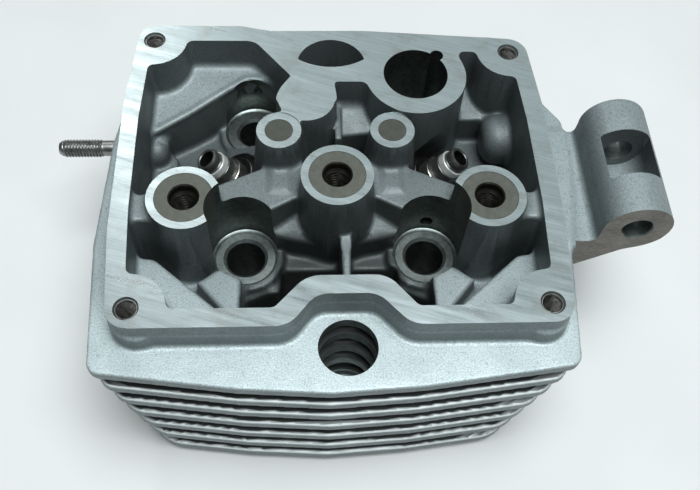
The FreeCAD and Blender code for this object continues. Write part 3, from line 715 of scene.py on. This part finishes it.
# Flange faces, gasket face and ear threads.
for sign, top in ((-1, 53.5), (1, 40)):
    low, high = sorted((sign * FLANGE_FACE, sign * 85))
    casting = carved(casting, "face_tool", boxed((low, -34, -8), (high, 34, top), BRIGHT))
casting = carved(casting, "face_tool", boxed((-75, -85, -9), (68, 65, 0), BRIGHT))
threads = []
for name, (sign, y, z) in EARS.items():
    start = (sign * (FLANGE_FACE + 2), y, z)
    depth, radius = EAR_THREAD_DEPTH, EAR_THREAD_RADIUS
    if name == "exhaust_back":
        depth, radius = STUD_HOLE_DEPTH, STUD_HOLE_RADIUS
    hole = [(0, -4), (radius, -4), (radius, depth + 2), (0, depth + 3.4)]
    threads.append(turned_tool(hole, toward(start, (-sign, 0, 0)), BORED, 48))
casting = carved(casting, "thread_tools", *threads)

# The hanger lug's front face, hole and window.
casting = carved(casting, "lug_face", boxed((72, LUG_FRONT - 6, 44), (104, LUG_FRONT, 80), DARK))
lug_hole = [
    (0, -2), (LUG_HOLE_RADIUS + 2, -2), (LUG_HOLE_RADIUS, 0.45), (LUG_HOLE_RADIUS, LUG_LENGTH - 0.4),
    (6, LUG_LENGTH + 2), (0, LUG_LENGTH + 2),
]
lug_x, lug_z = LUG_CENTRE
casting = carved(casting, "lug_bore", turned_tool(lug_hole, toward((lug_x, LUG_FRONT, lug_z), BACK), BORED))
window_low = (lug_x - LUG_WINDOW_RADIUS, LUG_WINDOW_FRONT, lug_z)
window_high = (lug_x + LUG_WINDOW_RADIUS, LUG_WINDOW_FRONT + LUG_WINDOW_LENGTH, 82)
casting = carved(casting, "lug_window", boxed(window_low, window_high, CAST, 0.8))
window_floor = [
    (0, 0), (LUG_WINDOW_RADIUS, 0), (LUG_WINDOW_RADIUS, LUG_WINDOW_LENGTH), (0, LUG_WINDOW_LENGTH),
]
window_frame = toward((lug_x, LUG_WINDOW_FRONT, lug_z), BACK)
casting = carved(casting, "lug_window_floor", turned_tool(window_floor, window_frame, CAST))


# ---- normals: cast skin follows the field, machined faces their own shape ----


def sampled(field, points):
    """Trilinear value of a field at points in millimetres."""
    place = (points - np.array(GRID_LOW)) / GRID_STEP
    place = np.clip(place, 0, np.array(field.shape) - 1.001)
    base = np.floor(place).astype(int)
    part = place - base
    total = np.zeros(len(points))
    for corner in range(8):
        offset = np.array([(corner >> i) & 1 for i in range(3)])
        weight = np.prod(np.where(offset, part, 1 - part), axis=1)
        i, j, k = (base + offset).T
        total += weight * field[i, j, k]
    return total


def skin_normals(field, points):
    normals = np.zeros((len(points), 3))
    for i in range(3):
        nudge = np.zeros(3)
        nudge[i] = 0.45
        normals[:, i] = sampled(field, points + nudge) - sampled(field, points - nudge)
    return normals / np.maximum(np.linalg.norm(normals, axis=1), 1e-9)[:, None]


def painted_shade_of(points):
    """Painted shade at each point, from 0 in the open to 1 at the bottom of its recess."""
    x, y, z = points.T
    depth = np.clip((HEAD_HEIGHT - z) / (HEAD_HEIGHT - FLOOR), 0, 1)
    away = np.abs(x)
    off_rib = np.abs(x - 1)
    # The painted shade of each region goes over the ones before it.
    regions = (
        ((away > 9) & (away < 40) & (y > -22) & (y < 4) & (z > 55), 0.69),  # webs
        ((y < -33) & (away > 29), 0.16 + 0.3 * depth),  # front shelves
        ((y > 13) & (x < -18) & (z > 50), 0.5),  # back shelf
        ((y > 27) & (away < 12) & (z > 45), 0.4),  # rim window
        ((off_rib < 29) & (y > -58) & (y < -36) & (z < 50), 0.93),  # front pockets
        ((off_rib < 21) & (y > -50) & (y < -21) & (z < 50), 0.95),  # pushrod bays
        ((off_rib < 21) & (y > -50) & (y < -23.5) & (z < 39), 0.97),  # pushrod passages
    )
    # Painted shade inside the box, darker further down.
    hollow_shade = 0.58 + 0.24 * depth
    for region, shade in regions:
        hollow_shade = np.where(region, shade, hollow_shade)
    in_box = np.clip((-sampled_plan(rim_plan, x, y) - 2.2) / 1.5, 0, 1) * (z < HEAD_HEIGHT - 1.2) * (z > 1)
    in_box = in_box * ((z > FLOOR - 5) | (hollow_shade > 0.9))
    # Outside the box: painted shade on the plate, darker away from the front, and on the hanger lug.
    margin_shade = 0.34 * np.clip((y + 60) / 14, 0, 1) * (z > 50)
    lug = 0.46 * np.clip((x - 74) / 6, 0, 1)
    return np.where(in_box > 0, in_box * hollow_shade, np.maximum(margin_shade, lug))


def fin_depth_of(points):
    """Distance in from the edge of the fin above or at each point, and below 0 on top of the plate."""
    x, y, z = points.T
    level = np.clip(np.floor((PLATE_TOP - z) / FIN_PITCH + 0.05), 0, FIN_COUNT).astype(int)
    inward = -np.choose(level, [sampled_plan(plan, x, y) for plan in fin_plans])
    in_box = (sampled_plan(rim_plan, x, y) < -2) & (z > FLOOR - 5)
    return np.where((z > PLATE_TOP - 1.0) | (z < 0.5) | (x > 74) | in_box, -5.0, inward)


def sampled_plan(plan, x, y):
    """Value of a plan distance at points, to the nearest grid step."""
    i = np.clip(np.rint((x - GRID_LOW[0]) / GRID_STEP).astype(int), 0, plan.shape[0] - 1)
    j = np.clip(np.rint((y - GRID_LOW[1]) / GRID_STEP).astype(int), 0, plan.shape[1] - 1)
    return plan[i, j]


def finish_casting(mesh):
    """Normals, attributes for painted shade and painted highlights, and metres for the casting's mesh."""
    mesh.polygons.foreach_set("use_smooth", np.ones(len(mesh.polygons), bool))
    mesh.set_sharp_from_angle(angle=math.radians(32))
    points = np.empty(len(mesh.vertices) * 3)
    mesh.vertices.foreach_get("co", points)
    points = points.reshape(-1, 3)
    corners = np.empty(len(mesh.loops), int)
    mesh.loops.foreach_get("vertex_index", corners)
    own = np.empty(len(mesh.loops) * 3)
    mesh.corner_normals.foreach_get("vector", own)
    own = own.reshape(-1, 3)
    slots = np.empty(len(mesh.polygons), int)
    mesh.polygons.foreach_get("material_index", slots)
    sizes = np.empty(len(mesh.polygons), int)
    mesh.polygons.foreach_get("loop_total", sizes)
    slot_of_corner = np.repeat(slots, sizes)
    wanted = skin_normals(head, points)[corners]
    cast = (slot_of_corner == CAST) & ((wanted * own).sum(axis=1) > 0.75)
    own[cast] = wanted[cast]
    # recess holds painted shade; fin_depth places painted shade between the fins and a painted highlight on
    # their edges.
    for name, values in (("recess", painted_shade_of(points)), ("fin_depth", fin_depth_of(points))):
        attribute = mesh.attributes.new(name, "FLOAT", "POINT")
        attribute.data.foreach_set("value", values.astype(np.float32))
    mesh.transform(Matrix.Scale(MM, 4))
    mesh.normals_split_custom_set(own.tolist())


casting.name = "casting"
finish_casting(casting)
casting_piece = link("cylinder_head_casting", casting)

# ---- fitted pieces ----

PIECE_SHARP_ANGLE = math.radians(30)


def piece(name, profile, segments, matrix, node, materials, special=None, threads=None):
    """Turned piece in place of a CAD node. The mesh keeps its own axis as local Z.

    special gives the material index of the profile's runs that don't have the first material.
    """
    points, faces, runs = turning(profile, segments, threads)
    special = special or {}
    mesh = combined(name, [(points, faces, Matrix(), [special.get(run, 0) for run in runs])])
    mesh.transform(Matrix.Scale(MM, 4))
    mesh.polygons.foreach_set("use_smooth", np.ones(len(mesh.polygons), bool))
    mesh.set_sharp_from_angle(angle=PIECE_SHARP_ANGLE)
    thing = link(name, mesh)
    spot = matrix.copy()
    spot.translation = spot.translation * MM
    thing.matrix_world = spot
    for material in materials:
        mesh.materials.append(turned[material])
    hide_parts(node)
    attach(thing, "root")
    return thing


# ---- materials ----


class Graph:
    """Node graph of one material, in object coordinates measured in millimetres."""

    def __init__(self, name):
        self.material = bpy.data.materials.new(name)
        self.material.use_nodes = True
        self.tree = self.material.node_tree
        self.shader = self.tree.nodes["Principled BSDF"]
        metres = self.tree.nodes.new("ShaderNodeTexCoord").outputs["Object"]
        self.coordinates = self.scaled(metres, (1000, 1000, 1000))

    def feed(self, socket, value):
        if isinstance(value, bpy.types.NodeSocket):
            self.tree.links.new(value, socket)
        else:
            socket.default_value = value

    def scaled(self, vector, scale, rotation=(0, 0, 0)):
        node = self.tree.nodes.new("ShaderNodeMapping")
        node.inputs["Scale"].default_value = scale
        node.inputs["Rotation"].default_value = rotation
        self.feed(node.inputs["Vector"], vector)
        return node.outputs["Vector"]

    def noise(self, size, detail=2.0, roughness=0.5, stretch=(1, 1, 1), rotation=(0, 0, 0)):
        """Noise with features of a size in millimetres, stretched along some axes."""
        node = self.tree.nodes.new("ShaderNodeTexNoise")
        node.inputs["Scale"].default_value = 1 / size
        node.inputs["Detail"].default_value = detail
        node.inputs["Roughness"].default_value = roughness
        turned = self.scaled(self.coordinates, (1, 1, 1), rotation)
        self.feed(node.inputs["Vector"], self.scaled(turned, [1 / s for s in stretch]))
        return node.outputs["Fac"]

    def rings(self, pitch):
        """Fine turning marks round the piece's own Z axis."""
        node = self.tree.nodes.new("ShaderNodeTexWave")
        node.wave_type = "RINGS"
        node.rings_direction = "Z"
        node.inputs["Scale"].default_value = 0.314 / pitch
        node.inputs["Distortion"].default_value = 0.4
        node.inputs["Detail"].default_value = 2
        node.inputs["Detail Scale"].default_value = 0.4
        self.feed(node.inputs["Vector"], self.coordinates)
        return node.outputs["Fac"]

    def facing_up(self):
        """Upward component of the surface's own direction."""
        node = self.tree.nodes.new("ShaderNodeSeparateXYZ")
        self.feed(node.inputs["Vector"], self.tree.nodes.new("ShaderNodeTexCoord").outputs["Normal"])
        return node.outputs["Z"]

    def attribute(self, name):
        node = self.tree.nodes.new("ShaderNodeAttribute")
        node.attribute_name = name
        return node.outputs["Fac"]

    def maths(self, operation, a, b):
        node = self.tree.nodes.new("ShaderNodeMath")
        node.operation = operation
        for socket, value in zip(node.inputs, (a, b)):
            self.feed(socket, value)
        return node.outputs[0]

    def ramp(self, value, low, high, start=0.0, end=1.0):
        """Value from start to end as the input goes from low to high, clamped."""
        node = self.tree.nodes.new("ShaderNodeMapRange")
        limits = {"From Min": low, "From Max": high, "To Min": start, "To Max": end}
        for socket, number in limits.items():
            node.inputs[socket].default_value = number
        self.feed(node.inputs["Value"], value)
        return node.outputs["Result"]

    def mix(self, share, a, b):
        """Colour from a to b as the share goes from 0 to 1."""
        node = self.tree.nodes.new("ShaderNodeMix")
        node.data_type = "RGBA"
        self.feed(node.inputs[0], share)
        self.feed(node.inputs[6], (*a, 1) if isinstance(a, tuple) else a)
        self.feed(node.inputs[7], (*b, 1) if isinstance(b, tuple) else b)
        return node.outputs[2]

    def bump(self, height, depth, strength=1.0, under=None):
        """Bump of a height socket whose full swing is depth millimetres."""
        node = self.tree.nodes.new("ShaderNodeBump")
        node.inputs["Distance"].default_value = depth * MM
        node.inputs["Strength"].default_value = strength
        self.feed(node.inputs["Height"], height)
        if under is not None:
            self.feed(node.inputs["Normal"], under)
        return node.outputs["Normal"]

    def finish(self, colour, metallic, roughness, normal):
        self.feed(self.shader.inputs["Base Color"], colour)
        self.feed(self.shader.inputs["Metallic"], metallic)
        self.feed(self.shader.inputs["Roughness"], roughness)
        self.feed(self.shader.inputs["Normal"], normal)
        return self.material


def cast_metal(name, light, dark):
    """Bead-blasted casting: fine grain and soft clouds, with painted shade on the sides, in the hollows and
    between the fins, and a painted highlight on the fin edges.
    """
    g = Graph(name)
    grain = g.noise(0.42, 2.0, 0.6)
    pits = g.ramp(g.noise(1.1, 1.0), 0.62, 0.72)
    clouds = g.noise(17, 4.0, 0.6)
    colour = g.mix(g.ramp(clouds, 0.35, 0.68), dark, light)
    colour = g.mix(g.ramp(grain, 0.32, 0.62, 0.55, 0.0), colour, (0.20, 0.22, 0.225))
    colour = g.mix(g.maths("MULTIPLY", pits, 0.3), colour, (0.12, 0.13, 0.13))
    # Painted shade: sides darker than tops, darker in recesses and deep between the fins.
    toward_light = g.ramp(g.facing_up(), 0.1, 0.85, 0.36, 1.0)
    open_to_light = g.maths("SUBTRACT", 1.0, g.attribute("recess"))
    fin_depth = g.attribute("fin_depth")
    light_between_fins = g.ramp(fin_depth, 0.5, 1.15, 1.0, 0.02)
    light_there = g.maths("MULTIPLY", g.maths("MULTIPLY", toward_light, open_to_light), light_between_fins)
    # Painted highlight: near-white colour on the upper edges of the fins.
    fin_edge_highlight = g.maths("MULTIPLY", g.ramp(fin_depth, -0.2, 0.1), g.ramp(g.facing_up(), 0.35, 0.7))
    colour = g.mix(fin_edge_highlight, colour, (0.95, 1.0, 1.0))
    # Painted shade: the colour goes towards black where little painted light is left.
    colour = g.mix(g.maths("SUBTRACT", 1.0, light_there), colour, (0.018, 0.021, 0.02))
    roughness = g.ramp(g.noise(6, 3.0), 0.3, 0.7, 0.42, 0.56)
    coarse = g.bump(g.noise(2.6, 2.0), 0.16, 0.35)
    normal = g.bump(grain, 0.07, 1.0, coarse)
    return g.finish(colour, 0.25, roughness, normal)


TOOL_MARK_DEPTH = 0.012


def milled_metal(name, light, dark, rough, turn=0.0, length=40.0, width=0.35, stains=0.25):
    """Milled face with streaks along one direction and faint stains."""
    g = Graph(name)
    streaks = g.noise(width, 2.0, 0.6, (length, 1, 1), (0, 0, turn))
    broad = g.noise(width * 7, 2.0, 0.5, (9, 1, 1), (0, 0, turn))
    clouds = g.noise(9, 4.0, 0.65)
    colour = g.mix(g.ramp(streaks, 0.3, 0.7), dark, light)
    colour = g.mix(g.ramp(clouds, 0.5, 0.75, 0.0, stains), colour, (0.33, 0.31, 0.28))
    roughness = g.ramp(broad, 0.3, 0.7, *rough)
    dents = g.bump(g.noise(1.2), 0.02, 0.4)
    return g.finish(colour, 0.9, roughness, g.bump(streaks, TOOL_MARK_DEPTH, 0.6, dents))


def turned_metal(name, light, dark, rough, pitch, metallic, stains):
    """Turned piece with fine rings round its own axis and patchy stains."""
    g = Graph(name)
    rings = g.rings(pitch)
    clouds = g.noise(2.6, 4.0, 0.6)
    grain = g.noise(0.3, 2.0)
    colour = g.mix(g.ramp(clouds, 0.3, 0.7), dark, light)
    colour = g.mix(g.ramp(grain, 0.45, 0.7, 0.0, stains), colour, (0.05, 0.045, 0.04))
    roughness = g.ramp(clouds, 0.3, 0.7, *rough)
    pits = g.bump(grain, 0.015, 0.5)
    return g.finish(colour, metallic, roughness, g.bump(rings, TOOL_MARK_DEPTH, 0.7, pits))


# Materials of the casting's faces, in the order of their indexes.
CASTING_MATERIALS = (
    cast_metal("cast_aluminium", (0.64, 0.74, 0.76), (0.55, 0.64, 0.66)),
    milled_metal("milled_aluminium", (0.58, 0.655, 0.67), (0.44, 0.50, 0.51), (0.26, 0.38),
                 turn=math.radians(18), stains=0.5),
    milled_metal("bored_aluminium", (0.29, 0.33, 0.32), (0.18, 0.205, 0.2), (0.3, 0.45), 0.0, 1.0, 1.6),
    milled_metal("lug_face_aluminium", (0.20, 0.185, 0.165), (0.12, 0.11, 0.10), (0.4, 0.55),
                 0.3, 12.0, 0.5),
    # Darker copy of the bored finish: painted shade on the walls of the wells, pockets and small holes.
    milled_metal("well_wall_shaded_aluminium", (0.13, 0.15, 0.14), (0.07, 0.08, 0.075), (0.35, 0.5), 0.0, 1.0, 1.6),
)

# Turned metals: light and dark colour, roughness range, pitch of the rings, metallic, stains.
TURNED_METALS = {
    "bush_steel": ((0.165, 0.172, 0.148), (0.12, 0.126, 0.108), (0.42, 0.58), 0.5, 0.75, 0.4),
    "pad_steel": ((0.12, 0.126, 0.108), (0.085, 0.09, 0.078), (0.45, 0.6), 0.6, 0.75, 0.5),
    "thread_steel": ((0.10, 0.09, 0.08), (0.05, 0.046, 0.042), (0.3, 0.45), 0.3, 0.9, 0.4),
    "guide_iron": ((0.17, 0.175, 0.165), (0.09, 0.095, 0.09), (0.28, 0.4), 0.25, 0.7, 0.3),
    # Darker copy of the guide's iron: painted shade inside the guide's bore.
    "guide_bore_shaded_iron": ((0.03, 0.028, 0.026), (0.015, 0.014, 0.013), (0.3, 0.5), 0.25, 0.8, 0.2),
    "clip_steel": ((0.85, 0.87, 0.85), (0.68, 0.70, 0.68), (0.3, 0.42), 0.2, 0.45, 0.15),
    "washer_steel": ((0.045, 0.044, 0.042), (0.022, 0.021, 0.02), (0.3, 0.45), 0.3, 0.85, 0.3),
    "worn_edge_steel": ((0.62, 0.6, 0.57), (0.4, 0.38, 0.36), (0.25, 0.4), 0.3, 1.0, 0.3),
    "insert_steel": ((0.62, 0.61, 0.59), (0.35, 0.34, 0.33), (0.25, 0.4), 0.3, 1.0, 0.3),
    "seat_iron": ((0.33, 0.32, 0.30), (0.20, 0.19, 0.18), (0.25, 0.4), 0.4, 0.95, 0.3),
    "stud_steel": ((0.42, 0.42, 0.41), (0.26, 0.26, 0.255), (0.3, 0.45), 0.3, 0.95, 0.4),
}
turned = {name: turned_metal(name, *look) for name, look in TURNED_METALS.items()}

slot_of_face = np.empty(len(casting.polygons), np.int32)
casting.polygons.foreach_get("material_index", slot_of_face)
casting.materials.clear()
for material in CASTING_MATERIALS:
    casting.materials.append(material)
casting.polygons.foreach_set("material_index", slot_of_face)
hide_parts(*[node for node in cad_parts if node.startswith(DECKS)])
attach(casting_piece, "root")

# ---- the fitted pieces, turned in detail ----

# Pitch and depth of each thread's ridges.
POST_THREAD = (1.25, 0.55)
COVER_THREAD = (1.0, 0.3)
PLUG_THREAD = (1.25, 0.5)
STUD_THREAD = (1.0, 0.4)

for name, (x, y) in POSTS.items():
    profile = [
        (3.4, -BUSH_LENGTH), (8.3, -BUSH_LENGTH), (BUSH_RADIUS, -BUSH_LENGTH + 0.3), (BUSH_RADIUS, -0.12),
        (BUSH_RADIUS - 0.12, 0), (4.65, 0), (4.25, -0.4), (4.2, -2.6), (3.95, -3.0), (3.4, -3.6),
    ]
    bush = piece(f"{name}_bush", profile, 72, toward((x, y, POST_TOP), UP), f"{name}_post_bush",
                 ("bush_steel", "thread_steel"), {5: 1, 6: 1, 7: 1, 8: 1, 9: 1},
                 {9: POST_THREAD})
    if name != "centre":
        # The socket well beside the post clips the bush.
        stud_x, stud_y, _ = STUDS[f"front_{name}"]
        well = [(0, -40), (WELL_RADIUS, -40), (WELL_RADIUS, 10), (0, 10)]
        well_frame = toward((stud_x - x, stud_y - y, 0), UP)
        clip = combined("clip_tool", [turned_tool(well, well_frame, 0, 128)])
        clip.transform(Matrix.Scale(MM, 4))
        bush.data = without(bush, clip)
        bush.data.set_sharp_from_angle(angle=PIECE_SHARP_ANGLE)

for name, (x, y) in RESTS.items():
    profile = [
        (0, -PAD_LENGTH), (PAD_RADIUS, -PAD_LENGTH), (PAD_RADIUS, -0.1), (PAD_RADIUS - 0.1, 0), (0, 0),
    ]
    piece(f"{name}_pad", profile, 64, toward((x, y, POST_TOP), UP), f"{name}_rest_pad",
          ("pad_steel",))

for name, (x, y) in COVER_SCREWS.items():
    profile = [(2.65, -12), (3.05, -12), (3.05, -0.1), (2.98, 0), (2.85, 0), (2.65, -0.4)]
    piece(f"{name}_insert", profile, 48, toward((x, y, HEAD_HEIGHT - 0.6), UP), f"{name}_screw_insert",
          ("insert_steel",), threads={5: COVER_THREAD})

for side, sign in SIDES.items():
    spot = valve_frame(sign)
    guide = [
        (2.75, -40), (3.9, -40), (4.85, -38), (4.9, -15), (6.0, -15), (6.0, -9.9), (5.8, -9.7), (4.9, -9.7),
        (4.9, -6.0), (4.7, -5.8), (4.0, -5.8), (4.0, -3.2), (3.75, -2.9), (3.75, -2.1), (4.0, -1.8),
        (4.0, -0.7), (3.7, -0.15), (3.3, 0), (3.0, 0), (2.75, -0.3),
    ]
    piece(f"{side}_guide", guide, 72, spot, f"{side}_valve_guide",
          ("guide_iron", "guide_bore_shaded_iron", "worn_edge_steel"), {len(guide) - 1: 1, 5: 2, 6: 2, 16: 2})
    ring = [(4.0, -5.8), (4.5, -5.8), (4.6, -5.65), (4.6, -3.6), (4.45, -3.42), (4.0, -3.4)]
    piece(f"{side}_clip", ring, 72, spot, f"{side}_guide_clip", ("clip_steel",))
    washer = [
        (6.2, -15), (10.1, -15), (10.2, -14.9), (10.2, -14.45), (10.0, -14.25), (8.3, -14.25),
        (8.0, -14.1), (8.0, -13.6), (7.8, -13.4), (6.4, -13.4), (6.2, -13.6),
    ]
    piece(f"{side}_seat_washer", washer, 72, spot, f"{side}_spring_seat",
          ("washer_steel", "worn_edge_steel"), {3: 1, 7: 1})
    seat = SEAT_RADIUS[side]
    ring = [
        (seat - 2.6, -47.2), (seat - 2.1, -47.7), (seat - 0.8, -49), (seat - 0.05, -49),
        (seat - 0.05, -43.5), (seat - 2.6, -43.5),
    ]
    piece(f"{side}_seat_ring", ring, 96, spot, f"{side}_valve_seat", ("seat_iron",))

plug_profile = [
    (5.4, PLUG_SEAT - 12.7), (7.15, PLUG_SEAT - 12.7), (7.15, PLUG_SEAT), (5.8, PLUG_SEAT),
    (5.4, PLUG_SEAT - 0.5),
]
piece("plug_thread", plug_profile, 72, plug_frame, "spark_plug_insert",
      ("insert_steel",), threads={4: PLUG_THREAD})

# The stud's heights are distances out from the middle of the head.
stud_profile = [
    (0, 57), (2.2, 57), (2.6, 57.5), (2.6, 70.8), (2.65, 71.6), (2.65, 76.4), (2.6, 77.2),
    (2.6, 90.9), (2.0, 91.9), (0, 91.9),
]
_, stud_y, stud_z = EARS["exhaust_back"]
piece("flange_stud", stud_profile, 48, toward((0, stud_y, stud_z), (-1, 0, 0)), "exhaust_stud",
      ("stud_steel",), threads={2: STUD_THREAD, 6: STUD_THREAD})

# ---- floor, light and camera ----


def stage_material():
    g = Graph("pale_floor")
    colour = g.mix(g.ramp(g.noise(60, 3.0), 0.3, 0.7), (0.80, 0.80, 0.80), (0.84, 0.84, 0.84))
    return g.finish(colour, 0.0, 0.65, g.bump(g.noise(1.5), 0.02, 0.2))


FLOOR_HALF_WIDTH = 2.5
FLOOR_LEVEL = -0.0002
floor_mesh = bpy.data.meshes.new("floor")
floor_corners = [
    (FLOOR_HALF_WIDTH * x, FLOOR_HALF_WIDTH * y, FLOOR_LEVEL) for x, y in ((-1, -1), (1, -1), (1, 1), (-1, 1))
]
floor_mesh.from_pydata(floor_corners, [], [(0, 1, 2, 3)])
floor_mesh.materials.append(stage_material())
link("floor", floor_mesh)


def area_light(name, place, aim, size, power, colour):
    lamp = bpy.data.lights.new(name, "AREA")
    lamp.shape = "RECTANGLE"
    lamp.size, lamp.size_y = size
    lamp.energy = power
    lamp.color = colour
    thing = link(name, lamp)
    thing.location = place
    thing.rotation_euler = (Vector(aim) - Vector(place)).to_track_quat("-Z", "Y").to_euler()


area_light("overhead", (0.11, -0.17, 1.05), (0, -0.02, 0.05), (0.6, 0.6), 11.5, (0.93, 0.99, 1.0))
area_light("back_panel", (0.12, 0.98, 1.0), (0, 0.02, 0.07), (1.3, 0.8), 1.5, (0.9, 1.0, 1.0))
area_light("left_strip", (-0.23, 0.53, 0.68), (-0.06, 0.01, 0.07), (0.12, 0.4), 0.6, (0.97, 1.0, 1.0))
world = bpy.data.worlds.new("studio")
world.use_nodes = True
world.node_tree.nodes["Background"].inputs["Color"].default_value = (0.86, 0.98, 1.0, 1)
world.node_tree.nodes["Background"].inputs["Strength"].default_value = 0.1
bpy.context.scene.world = world

YAW, PITCH, ROLL = (math.radians(a) for a in (6.38, 58.91, 4.89))
CAMERA_PLACE = (-0.0109, -0.1614, 0.2761)
ahead = Vector((math.sin(YAW) * math.cos(PITCH), math.cos(YAW) * math.cos(PITCH), -math.sin(PITCH)))
level = Vector((math.cos(YAW), -math.sin(YAW), 0))
above = level.cross(ahead)
right = math.cos(ROLL) * level + math.sin(ROLL) * above
top = -math.sin(ROLL) * level + math.cos(ROLL) * above
lens = bpy.data.cameras.new("camera")
lens.lens = 43.38
lens.sensor_width = 36
lens.clip_start = 0.01
camera = link("camera", lens)
camera.matrix_world = Matrix((
    *((right[i], top[i], -ahead[i], CAMERA_PLACE[i]) for i in range(3)),
    (0, 0, 0, 1),
))
bpy.context.scene.camera = camera
bpy.context.scene.view_settings.view_transform = "Standard"
